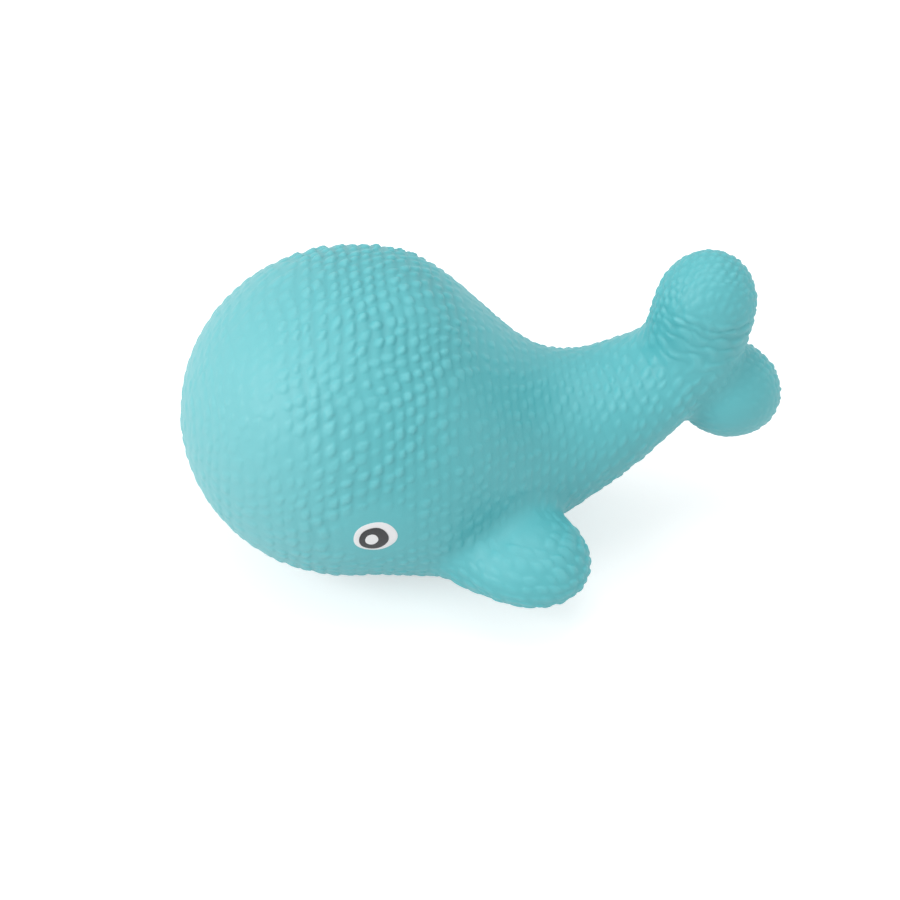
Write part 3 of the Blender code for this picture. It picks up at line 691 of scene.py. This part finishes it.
def nub_strength(form, points, away, nubs):
    """Share of the full nub height: most over the top of the head, little on nose, neck and cheeks."""
    x, _, z = points.T
    head = smooth_step(*NOSE_FADE, x) * (1 - 0.1 * smooth_step(*HEAD_BACK, x))
    # The nubs of the head end along a line that slants back from the belly to the crown
    neck_edge = 0.93 * np.maximum(z, -0.010) - 0.001
    head *= 1 - smooth_step(*NECK_FADE, x - neck_edge)
    head *= 0.94 - 0.28 * smooth_step(*CROWN_FADE, z) - 0.16 * smooth_step(*CHEEK_FADE, z)
    head += 0.25 * head * smooth_step(*CHIN_GROWTH, z)
    strength = 0.33 + 0.68 * head + 0.04 * smooth_step(*STEM_START, x) + 0.10 * smooth_step(*STEM_END, x)
    shares = {"fluke_upper": 1.4, "fluke_lower": 1.2}
    # A flipper's nubs stand out most at its tip and underneath
    for name in SIDES:
        place, axes, radii = form.lobes[f"flipper_{name}"]
        local = (points - place) @ axes / radii
        under = smooth_step(0.5, -0.1, local[:, 2] / np.linalg.norm(local, axis=1))
        shares[f"flipper_{name}"] = 0.6 + 0.85 * np.maximum(smooth_step(0.3, 0.85, local[:, 0]), under)
    for name, part in shares.items():
        strength *= 1 + (part - 1) * smooth_step(0.002, -0.002, away[name] - away["body"])
    wear_size = 0.03
    strength *= 0.9 + 0.25 * slow_noise(points, wear_size, 5)
    for name in SIDES:
        low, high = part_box(f"eye_white_{name}")
        gap = np.linalg.norm(points + form.origin - np.array(low + high) / 2, axis=1)
        strength *= smooth_step(nubs.eye_clear, nubs.eye_clear * 2.0, gap)
    # The nubs are worn down towards the flat belly
    return strength * (0.15 + 0.85 * smooth_step(form.floor + 0.0006, form.floor + 0.006, z))


def raise_nubs(skin, form, nubs):
    """Moves the skin's points out to the nubs and in to the grooves, and notes the heights."""
    points, outward = form.settle(points_of(skin), rounds=5)
    away = {"body": form.body(points)}
    away.update({name: form.lobe(name, points) for name in form.lobes})
    rooted = {"fluke_upper": "fluke_root"}
    rooted.update({f"flipper_{name}": f"flipper_root_{name}" for name in SIDES})
    for name, root in rooted.items():
        away[name] = np.minimum(away[name], away.pop(root))
    # The ridges of the upper fluke run a little way on to the stem
    away["fluke_upper"] -= 0.001
    merge_reach = 0.0007
    least = np.min(list(away.values()), axis=0)
    total = np.zeros(len(points))
    height = np.zeros(len(points))
    for i, (name, gap) in enumerate(away.items()):
        near = np.exp(-(gap - least) / merge_reach)
        some = near > 0.01
        found = np.zeros(len(points))
        if name == "body":
            found[some] = body_nubs(form, points[some], nubs)
        else:
            found[some] = lobe_nubs(form, name, points[some], nubs, 31 * i)
        height += near * found
        total += near
    height /= total
    strength = nub_strength(form, points, away, nubs)
    swell_size = 0.022
    swell = nubs.swell * slow_noise(points, swell_size, 7)
    mean_height = 0.52
    lift = strength * (nubs.depth * (height - mean_height) + swell)
    moved = points + outward * lift[:, None]
    moved[:, 2] = np.maximum(moved[:, 2], form.floor)
    move_points(skin, moved + form.origin)
    # The heights noted here set the painted shade and light of the latex colour
    note = skin.data.attributes.new("nub", "FLOAT", "POINT")
    note.data.foreach_set("value", (0.5 + (height - 0.5) * strength).astype(np.float32))


def note_normals(skin):
    """Keeps the whole skin's shading directions, so that its parts meet without a visible line."""
    normals = normals_of(skin).ravel()
    note = skin.data.attributes.new("whole_normal", "FLOAT_VECTOR", "POINT")
    note.data.foreach_set("vector", normals)


def dome_plane(form):
    """A point on the lower edge of the dome that a squeeze presses, and the direction of the press."""
    middle = float(form.section(np.array([0.0]))[0][0])
    anchor = form.origin + np.array((0.0, 0.0, middle + form.sizes.dome_height))
    tilt = form.sizes.dome_tilt
    return anchor, np.array((-math.sin(tilt), 0.0, math.cos(tilt)))


def cut_along(bm, faces, place, normal):
    edges = {edge for face in faces for edge in face.edges}
    verts = {vert for face in faces for vert in face.verts}
    bmesh.ops.bisect_plane(
        bm, geom=[*verts, *edges, *faces], plane_co=Vector(place), plane_no=Vector(normal), dist=1e-6
    )


def open_fill_hole(bm, sizes):
    """Opens the belly round the closing plug, with a rounded edge and a short wall."""
    low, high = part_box("closing_plug")
    axis = Vector((low.x + high.x, low.y + high.y, 0.0)) / 2
    outer = sizes.hole_radius + sizes.hole_rim
    flat = [face for face in bm.faces if face.normal.z < -0.9]
    gone = [face for face in flat if (face.calc_center_median() - axis).xy.length < outer]
    floor = gone[0].calc_center_median().z
    bmesh.ops.delete(bm, geom=gone, context="FACES")
    facing = bm.verts.layers.float_vector["whole_normal"]
    loops = [edge.link_loops[0] for edge in bm.edges if edge.is_boundary]
    rim = [(loop.vert, loop.link_loop_next.vert) for loop in loops]
    bends = (0.0, 0.3, 0.6, 0.9, math.pi / 2, math.pi / 2)
    for i, bend in enumerate(bends):
        if i > 0:
            # The rings are made one by one, because an extrusion has another order in each run
            grown = {vert: bm.verts.new(vert.co, vert) for vert, _ in rim}
            for here, there in rim:
                bm.faces.new((there, here, grown[here], grown[there]))
            rim = [(grown[here], grown[there]) for here, there in rim]
        last = i == len(bends) - 1
        radius = outer - sizes.hole_rim * math.sin(bend)
        rise = sizes.hole_wall if last else sizes.hole_rim * (1 - math.cos(bend))
        for vert, _ in rim:
            out = Vector((vert.co.x - axis.x, vert.co.y - axis.y, 0.0)).normalized()
            vert.co = axis + out * radius + Vector((0.0, 0.0, floor + rise))
            vert[facing] = Vector((0.0, 0.0, -math.cos(bend))) - out * math.sin(bend)


def part_skin(skin, form):
    """Parts the skin in dome, nose, flippers, tail and trunk, and returns the pieces by name."""
    anchor, press = dome_plane(form)
    tail_place, _ = form.tail_bend()
    half_width, half_height = form.sizes.flipper_part_reach
    flippers = {}
    for name in SIDES:
        place, axes, _ = form.lobes[f"flipper_{name}"]
        flippers[name] = place + form.origin, axes

    def near_flipper(centre, name):
        place, axes = flippers[name]
        out, along, up = (np.array(centre) - place) @ axes
        return out, abs(along) < half_width and abs(up) < half_height

    bm = bmesh.new()
    bm.from_mesh(skin.data)
    cut_along(bm, bm.faces[:], anchor, press)
    for name, (place, axes) in flippers.items():
        near = [face for face in bm.faces if near_flipper(face.calc_center_median(), name)[1]]
        cut_along(bm, near, place + axes[:, 0] * form.sizes.flipper_part, axes[:, 0])
    cut_along(bm, bm.faces[:], tail_place, (1.0, 0.0, 0.0))
    nose_place = form.origin + np.array((form.sizes.nose_part, 0.0, 0.0))
    low_faces = [face for face in bm.faces if (np.array(face.calc_center_median()) - anchor) @ press < 0]
    cut_along(bm, low_faces, nose_place, (1.0, 0.0, 0.0))
    open_fill_hole(bm, form.sizes)
    names = ["trunk_shell", "head_dome", "tail_shell"]
    names += [f"flipper_shell_{name}" for name in SIDES]
    names.append("nose_shell")
    mark = bm.faces.layers.int.new("part")
    for face in bm.faces:
        centre = face.calc_center_median()
        part = "trunk_shell"
        if centre.x > tail_place[0]:
            part = "tail_shell"
        elif (np.array(centre) - anchor) @ press > 0:
            part = "head_dome"
        elif centre.x < nose_place[0]:
            part = "nose_shell"
        for name in SIDES:
            out, near = near_flipper(centre, name)
            if near and out > form.sizes.flipper_part:
                part = f"flipper_shell_{name}"
        face[mark] = names.index(part)
    bm.to_mesh(skin.data)
    bm.free()
    return separate_parts(skin, names)


def separate_parts(skin, names):
    """Takes the marked parts off the skin, each with the whole skin's shading directions."""
    pieces = {names[0]: skin}
    for number in range(1, len(names)):
        select_only(skin)
        marks = np.empty(len(skin.data.polygons), np.int32)
        skin.data.attributes["part"].data.foreach_get("value", marks)
        skin.data.polygons.foreach_set("select", marks == number)
        skin.data.vertices.foreach_set("select", np.zeros(len(skin.data.vertices), bool))
        skin.data.edges.foreach_set("select", np.zeros(len(skin.data.edges), bool))
        bpy.ops.object.mode_set(mode="EDIT")
        bpy.context.tool_settings.mesh_select_mode = (False, False, True)
        bpy.ops.mesh.separate(type="SELECTED")
        bpy.ops.object.mode_set(mode="OBJECT")
        pieces[names[number]] = next(o for o in bpy.context.selected_objects if o is not skin)
    for name, piece in pieces.items():
        piece.name = name
        piece.data.name = name
        piece.data.shade_smooth()
        flat = np.empty(len(piece.data.vertices) * 3, np.float32)
        piece.data.attributes["whole_normal"].data.foreach_get("vector", flat)
        normals = flat.reshape(-1, 3)
        normals /= np.linalg.norm(normals, axis=1, keepdims=True)
        piece.data.normals_split_custom_set_from_vertices(normals.tolist())
        for spare in ("whole_normal", "part"):
            piece.data.attributes.remove(piece.data.attributes[spare])
    return pieces


def fill_inputs(tree, node, inputs):
    """Sets inputs of a node to values, or links them where another node's output is given."""
    for name, value in inputs.items():
        if isinstance(value, bpy.types.NodeSocket):
            tree.links.new(value, node.inputs[name])
        else:
            node.inputs[name].default_value = value


def add_node(tree, kind, inputs):
    node = tree.nodes.new(f"ShaderNode{kind}")
    fill_inputs(tree, node, inputs)
    return node


def new_material(name, roughness):
    made = bpy.data.materials.new(name)
    made.use_nodes = True
    shader = made.node_tree.nodes["Principled BSDF"]
    shader.inputs["Roughness"].default_value = roughness
    return made, made.node_tree, shader


def own_place(tree):
    """The piece's own coordinates."""
    return tree.nodes.new("ShaderNodeTexCoord").outputs["Object"]


def add_noise(tree, scale, detail):
    inputs = {"Vector": own_place(tree), "Scale": scale, "Detail": detail}
    return add_node(tree, "TexNoise", inputs).outputs["Fac"]


def add_ramp(tree, factor, stops):
    ramp = add_node(tree, "ValToRGB", {"Fac": factor})
    elements = ramp.color_ramp.elements
    for element, (place, tint) in zip((elements[0], elements[1]), (stops[0], stops[-1])):
        element.position = place
        element.color = (*tint, 1.0)
    for place, tint in stops[1:-1]:
        elements.new(place).color = (*tint, 1.0)
    return ramp.outputs["Color"]


def add_bump(tree, shader, height, strength, distance):
    bump = add_node(tree, "Bump", {"Height": height, "Strength": strength, "Distance": distance})
    tree.links.new(bump.outputs["Normal"], shader.inputs["Normal"])


def mix_colours(tree, factor, first, second, kind="MIX"):
    mix = tree.nodes.new("ShaderNodeMix")
    mix.data_type = "RGBA"
    mix.blend_type = kind
    # Inputs 0, 6 and 7 and output 2 are the ones that a mix of colours uses
    fill_inputs(tree, mix, {0: factor, 6: first, 7: second})
    return mix.outputs[2]


def nose_painted_highlight(tree, colours):
    """A painted highlight: a share that grows from the middle of the head to the nose."""
    low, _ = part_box("trunk_skin")
    apart = add_node(tree, "SeparateXYZ", {"Vector": own_place(tree)})
    inputs = {
        "Value": apart.outputs["X"],
        "From Min": low.x + colours.nose_highlight_reach[0],
        "From Max": low.x + colours.nose_highlight_reach[1],
        "To Max": colours.nose_highlight_share,
    }
    bloom = add_node(tree, "MapRange", inputs)
    bloom.interpolation_type = "SMOOTHSTEP"
    return bloom.outputs["Result"]


def latex_material(colours):
    """Satin turquoise latex: painted light on the nub tops, painted shade deeper in the grooves, a
    painted highlight towards the nose, a little uneven.
    """
    made, tree, shader = new_material("turquoise_latex_skin", 0.5)
    height = tree.nodes.new("ShaderNodeAttribute")
    height.attribute_name = "nub"
    # Painted shade in the grooves and hollows, painted light on the nub tops
    stops = [
        (0.0, colours.latex_groove_painted_shade),
        (0.3, colours.latex_hollow_painted_shade),
        (0.55, colours.latex_slope),
        (1.0, colours.latex_crest_painted_light),
    ]
    tint = add_ramp(tree, height.outputs["Fac"], stops)
    cloud = add_noise(tree, scale=38.0, detail=3.0)
    drift = add_ramp(tree, cloud, [(0.3, colours.latex_cloud), (0.7, (1.0, 1.0, 1.0))])
    skin = mix_colours(tree, 1.0, tint, drift, "MULTIPLY")
    # Painted highlight, paler towards the nose
    skin = mix_colours(tree, nose_painted_highlight(tree, colours), skin, (*colours.latex_nose_highlight, 1.0))
    gloss = add_node(tree, "MapRange", {"Value": cloud, "To Min": 0.42, "To Max": 0.60})
    finish = {
        "Base Color": skin,
        "Roughness": gloss.outputs["Result"],
        "Specular IOR Level": 0.7,
        "Subsurface Weight": 0.06,
        "Subsurface Radius": (0.4, 1.0, 1.0),
        "Subsurface Scale": 0.0008,
    }
    fill_inputs(tree, shader, finish)
    grain = add_noise(tree, scale=900.0, detail=4.0)
    add_bump(tree, shader, grain, strength=0.15, distance=0.00008)
    return made


def plain_material(name, low, high, roughness, scale, bump=0.0, clear=0.0):
    """One colour that drifts a little over the piece, with a fine grain."""
    made, tree, shader = new_material(name, roughness)
    noise = add_noise(tree, scale, detail=4.0)
    tint = add_ramp(tree, noise, [(0.3, low), (0.7, high)])
    fill_inputs(tree, shader, {"Base Color": tint, "Transmission Weight": clear})
    if bump > 0:
        add_bump(tree, shader, noise, strength=0.6, distance=bump)
    return made


def paint(thing, material):
    thing.data.materials.clear()
    thing.data.materials.append(material)


class WHALE_OT_skin(Operator):
    """Model the nubbed latex skin and part it in trunk, nose, dome, tail and flippers"""

    bl_idname = "whale.skin"
    bl_label = "Latex skin"
    bl_options = {"REGISTER", "UNDO"}

    def execute(self, context):
        scene = context.scene
        form = WhaleForm(scene.whale_skin)
        skin = skin_form(form)
        raise_nubs(skin, form, scene.whale_nubs)
        note_normals(skin)
        pieces = part_skin(skin, form)
        latex = latex_material(scene.whale_colours)
        for piece in pieces.values():
            paint(piece, latex)
        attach(pieces["trunk_shell"], "trunk")
        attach(pieces["nose_shell"], "trunk")
        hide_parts("trunk_skin")
        anchor, press = dome_plane(form)
        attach(pieces["head_dome"], "trunk")
        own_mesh(pieces["head_dome"])
        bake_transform(pieces["tail_shell"])
        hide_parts("tail_skin")
        for name in SIDES:
            piece = pieces[f"flipper_shell_{name}"]
            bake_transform(piece)
            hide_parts(f"flipper_skin_{name}")
        return {"FINISHED"}


def film_disc(name, form, side, radii, shift, lift, thickness):
    """A round paint film on the side of the head."""
    low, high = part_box(f"eye_white_{'left' if side < 0 else 'right'}")
    middle = (np.array(low) + np.array(high)) / 2 - form.origin
    spokes = 64
    turns = np.linspace(0, 2 * np.pi, spokes, endpoint=False)
    wobble = 1 + 0.018 * np.sin(2 * turns + 0.7) + 0.012 * np.sin(5 * turns + 2.1)
    ring_shares = np.linspace(1.0, 0.125, 7)
    x = middle[0] - shift[0] + np.outer(ring_shares, radii[0] * wobble * np.cos(turns)).ravel()
    z = middle[2] - shift[1] + np.outer(ring_shares, radii[1] * wobble * np.sin(turns)).ravel()
    seats = np.stack([x, np.full(len(x), middle[1]), z], axis=1)
    points, outward = form.settle(seats, rounds=5)
    points = points + outward * lift
    bm = bmesh.new()
    verts = [bm.verts.new(point) for point in points + form.origin]
    for ring in range(len(ring_shares) - 1):
        for k in range(spokes):
            after = (k + 1) % spokes
            here, there = ring * spokes, (ring + 1) * spokes
            bm.faces.new((verts[here + k], verts[here + after], verts[there + after], verts[there + k]))
    bm.faces.new(verts[-spokes:])
    bmesh.ops.recalc_face_normals(bm, faces=bm.faces)
    facing = sum((face.normal for face in bm.faces), Vector())
    if facing.y * side < 0:
        bmesh.ops.reverse_faces(bm, faces=bm.faces)
    made = object_from(bm, name)
    solid = made.modifiers.new("film", "SOLIDIFY")
    solid.thickness = thickness
    solid.offset = -1.0
    soft = made.modifiers.new("soft edge", "BEVEL")
    soft.width = min(lift * 0.5, thickness * 0.4)
    soft.segments = 2
    soft.limit_method = "ANGLE"
    apply_modifiers(made)
    made.data.shade_smooth()
    return made


class WHALE_OT_eyes(Operator):
    """Paint a white, a dark spot and a glint on each side of the head"""

    bl_idname = "whale.eyes"
    bl_label = "Painted eyes"
    bl_options = {"REGISTER", "UNDO"}

    def execute(self, context):
        eyes = context.scene.whale_eyes
        form = WhaleForm(context.scene.whale_skin)
        tints = context.scene.whale_colours
        white = plain_material(
            "eye_white_paint", tints.white_dim, tints.white_bright, roughness=0.45, scale=300.0
        )
        dark = plain_material(
            "eye_charcoal_paint", tints.dark_dim, tints.dark_bright, roughness=0.4, scale=300.0
        )
        for name, side in SIDES.items():
            films = (
                ("white", eyes.white_radii, eyes.white_shift, 1, white, "white_paint"),
                ("iris", eyes.iris_radii, eyes.iris_shift, 2, dark, "charcoal_paint"),
                ("glint", eyes.glint_radii, eyes.glint_shift, 3, white, "white_paint"),
            )
            for part, radii, shift, layer, material, slot in films:
                lift = layer * eyes.lift
                thickness = eyes.film if layer == 1 else eyes.lift * 0.8
                film = film_disc(f"{part}_film_{name}", form, side, radii, shift, lift, thickness)
                paint(film, material)
                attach(film, "trunk")
                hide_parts(f"eye_{part}_{name}")
        return {"FINISHED"}


def lump_of(node, name, filling):
    """A lumpy stuffing over the shape of a CAD node, kept inside it."""
    made = add_object(name, frame["nodes"][node].data.copy())
    face_outwards(made, merge=1e-6)
    remesh(made, filling.grain)
    even_out(made, rounds=4)
    points = points_of(made)
    dent = 0.5 + 0.5 * slow_noise(points, filling.lump_size, 17)
    fuzz = 0.5 + 0.5 * slow_noise(points, filling.lump_size * 0.22, 23)
    depth = filling.clearance + filling.lump * (0.75 * dent**1.5 + 0.25 * fuzz)
    move_points(made, points - normals_of(made) * depth[:, None])
    made.data.shade_smooth()
    return made


def halve(thing, name, place, normal):
    """Cuts a closed piece in two along a plane, closes both cuts and returns the upper one."""
    upper = add_object(name, thing.data.copy())
    for half, keep_above in ((upper, True), (thing, False)):
        bm = bmesh.new()
        bm.from_mesh(half.data)
        cut = bmesh.ops.bisect_plane(
            bm,
            geom=bm.verts[:] + bm.edges[:] + bm.faces[:],
            plane_co=Vector(place),
            plane_no=Vector(normal),
            clear_inner=keep_above,
            clear_outer=not keep_above,
        )
        rim = [part for part in cut["geom_cut"] if isinstance(part, bmesh.types.BMEdge)]
        bmesh.ops.holes_fill(bm, edges=rim, sides=0)
        bmesh.ops.triangulate(bm, faces=[face for face in bm.faces if len(face.verts) > 4])
        bm.to_mesh(half.data)
        bm.free()
        half.data.shade_smooth()
    return upper


class WHALE_OT_wadding(Operator):
    """Stuff the trunk, tail and flippers with lumpy wadding"""

    bl_idname = "whale.wadding"
    bl_label = "Wadding"
    bl_options = {"REGISTER", "UNDO"}

    def execute(self, context):
        scene = context.scene
        form = WhaleForm(scene.whale_skin)
        tints = scene.whale_colours
        fibre = plain_material(
            "polyester_wadding",
            tints.fibre_dim,
            tints.fibre_bright,
            roughness=0.95,
            scale=420.0,
            bump=0.0004,
        )
        anchor, press = dome_plane(form)
        lower = lump_of("trunk_wadding", "trunk_stuffing", scene.whale_filling)
        upper = halve(lower, "dome_stuffing", anchor, press)
        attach(lower, "trunk")
        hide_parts("trunk_wadding")
        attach(upper, "trunk")
        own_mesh(upper)
        tail = lump_of("tail_wadding", "tail_stuffing", scene.whale_filling)
        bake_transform(tail)
        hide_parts("tail_wadding")
        stuffed = [lower, upper, tail]
        for name in SIDES:
            flipper = lump_of(f"flipper_wadding_{name}", f"flipper_stuffing_{name}", scene.whale_filling)
            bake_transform(flipper)
            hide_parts(f"flipper_wadding_{name}")
            stuffed.append(flipper)
        for piece in stuffed:
            paint(piece, fibre)
        return {"FINISHED"}


class WHALE_OT_squeaker(Operator):
    """Model the folded bellows and give the squeaker, the plug and the reed their finishes"""

    bl_idname = "whale.squeaker"
    bl_label = "Squeaker and plug"
    bl_options = {"REGISTER", "UNDO"}

    def execute(self, context):
        filling = context.scene.whale_filling
        tints = context.scene.whale_colours
        milky = plain_material(
            "milky_plastic", tints.milky_dim, tints.milky_bright, roughness=0.38, scale=160.0, clear=0.25
        )
        film = plain_material(
            "reed_film_plastic", tints.reed_dim, tints.reed_bright, roughness=0.3, scale=400.0
        )
        plug_latex = plain_material(
            "plug_latex", tints.plug_dim, tints.plug_bright, roughness=0.5, scale=220.0, bump=0.00006
        )
        bellows = self.bellows(filling)
        paint(bellows, milky)
        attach(bellows, "trunk")
        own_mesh(bellows)
        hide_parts("squeaker_bellows")
        for name in ("squeaker_base", "squeaker_crown", "reed_holder", "reed_clip"):
            paint(frame["nodes"][name], milky)
        paint(frame["nodes"]["reed"], film)
        paint(frame["nodes"]["closing_plug"], plug_latex)
        return {"FINISHED"}

    def bellows(self, filling):
        """A profile of round folds, turned about the squeaker's axis and given a wall."""
        low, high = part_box("squeaker_bellows")
        radius = (high.x - low.x) / 2
        steps = 64
        heights = np.linspace(low.z, high.z, steps + 1)
        waves = 0.5 + 0.5 * np.cos(np.linspace(0, 2 * np.pi * filling.bellows_folds, steps + 1))
        bm = bmesh.new()
        outs = radius - filling.bellows_fold_depth * waves
        verts = [bm.verts.new((out, 0.0, z)) for out, z in zip(outs, heights)]
        for here, there in zip(verts, verts[1:]):
            bm.edges.new((here, there))
        made = object_from(bm, "bellows_folds")
        turn = made.modifiers.new("turn", "SCREW")
        turn.steps = turn.render_steps = 56
        turn.use_merge_vertices = True
        turn.merge_threshold = 1e-6
        wall = made.modifiers.new("wall", "SOLIDIFY")
        wall.thickness = filling.bellows_wall
        wall.offset = -1.0
        apply_modifiers(made)
        face_outwards(made)
        middle = (low + high) / 2
        made.data.transform(Matrix.Translation((middle.x, middle.y, 0.0)))
        made.data.shade_smooth()
        return made


def add_light(name, place, aim, size, watts):
    light = bpy.data.lights.new(name, "AREA")
    light.shape = "DISK"
    light.size = size
    light.energy = watts
    made = add_object(name, light)
    made.location = place
    made.rotation_euler = (Vector(aim) - Vector(place)).to_track_quat("-Z", "Y").to_euler()
    return made


class WHALE_OT_stage(Operator):
    """Set up the pale floor, the soft lights and the camera"""

    bl_idname = "whale.stage"
    bl_label = "Stage"
    bl_options = {"REGISTER", "UNDO"}

    def execute(self, context):
        scene = context.scene
        stage = scene.whale_stage
        form = WhaleForm(scene.whale_skin)
        self.floor(stage)
        middle = Vector(form.origin)
        add_light("key_light", stage.key_place, middle, stage.key_size, stage.key_power)
        add_light("top_light", stage.top_place, middle, stage.top_size, stage.top_power)
        world = scene.world or bpy.data.worlds.new("World")
        scene.world = world
        world.use_nodes = True
        sky = world.node_tree.nodes["Background"]
        sky.inputs["Color"].default_value = (1.0, 1.0, 1.0, 1.0)
        sky.inputs["Strength"].default_value = stage.sky
        self.camera(scene, stage, middle)
        scene.view_settings.view_transform = "Standard"
        return {"FINISHED"}

    def floor(self, stage):
        """A wide pale floor that the camera sees white except in the toy's shadow."""
        bpy.ops.mesh.primitive_plane_add(size=30.0, location=(0.0, 0.0, -0.0002))
        floor = bpy.context.object
        floor.name = "floor"
        made, tree, shader = new_material("pale_floor", 0.9)
        rays = tree.nodes.new("ShaderNodeLightPath")
        glow = rays.outputs["Is Camera Ray"]
        for other in ("Is Glossy Ray", "Is Transmission Ray"):
            both = add_node(tree, "Math", {0: glow, 1: rays.outputs[other]})
            both.operation = "MAXIMUM"
            glow = both.outputs["Value"]
        part = add_node(tree, "Math", {0: glow, 1: stage.floor_glow})
        part.operation = "MULTIPLY"
        finish = {
            "Base Color": (*stage.floor_colour, 1.0),
            "Specular IOR Level": 0.0,
            "Emission Color": (1.0, 1.0, 1.0, 1.0),
            "Emission Strength": part.outputs["Value"],
        }
        fill_inputs(tree, shader, finish)
        paint(floor, made)

    def camera(self, scene, stage, middle):
        turn = stage.azimuth
        rise = stage.elevation
        right = Vector((math.cos(turn), math.sin(turn), 0.0))
        level = math.cos(rise)
        back = Vector((math.sin(turn) * level, -math.cos(turn) * level, math.sin(rise)))
        up = back.cross(right)
        data = bpy.data.cameras.new("camera")
        data.lens = stage.lens
        data.sensor_width = 36.0
        view = data.sensor_width / data.lens * stage.distance
        camera = add_object("camera", data)
        across = (stage.head_across - 0.5) * view
        above = (0.5 - stage.head_down) * view
        camera.location = middle + back * stage.distance - right * across - up * above
        camera.rotation_euler = Matrix((right, up, back)).transposed().to_euler()
        scene.camera = camera


class WHALE_PT_panel(Panel):
    """Sizes and steps of the whale"""

    bl_label = "Squeaky Whale"
    bl_idname = "WHALE_PT_panel"
    bl_space_type = "VIEW_3D"
    bl_region_type = "UI"
    bl_category = "Whale"

    def draw(self, context):
        scene = context.scene
        steps = (
            ("whale.skin", (scene.whale_skin, scene.whale_nubs, scene.whale_colours)),
            ("whale.eyes", (scene.whale_eyes,)),
            ("whale.wadding", (scene.whale_filling,)),
            ("whale.squeaker", ()),
            ("whale.stage", (scene.whale_stage,)),
        )
        for operator, groups in steps:
            box = self.layout.box()
            box.operator(operator)
            for group in groups:
                for name in group.__annotations__:
                    box.prop(group, name)


SETTINGS = {
    "whale_skin": WhaleSkinSettings,
    "whale_nubs": WhaleNubSettings,
    "whale_eyes": WhaleEyeSettings,
    "whale_filling": WhaleFillingSettings,
    "whale_colours": WhaleColourSettings,
    "whale_stage": WhaleStageSettings,
}
CLASSES = (
    *SETTINGS.values(),
    WHALE_OT_skin,
    WHALE_OT_eyes,
    WHALE_OT_wadding,
    WHALE_OT_squeaker,
    WHALE_OT_stage,
    WHALE_PT_panel,
)


def register():
    for kind in CLASSES:
        bpy.utils.register_class(kind)
    for name, kind in SETTINGS.items():
        setattr(bpy.types.Scene, name, PointerProperty(type=kind))


def unregister():
    for name in SETTINGS:
        delattr(bpy.types.Scene, name)
    for kind in reversed(CLASSES):
        bpy.utils.unregister_class(kind)


def remove_startup_objects():
    for name in ("Cube", "Light", "Camera"):
        thing = bpy.data.objects.get(name)
        if thing is not None:
            bpy.data.objects.remove(thing)


def main():
    remove_startup_objects()
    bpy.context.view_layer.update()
    register()
    bpy.ops.object.select_all(action="DESELECT")
    bpy.ops.whale.skin()
    bpy.ops.whale.eyes()
    bpy.ops.whale.wadding()
    bpy.ops.whale.squeaker()
    bpy.ops.whale.stage()


if __name__ == "__main__":
    main()
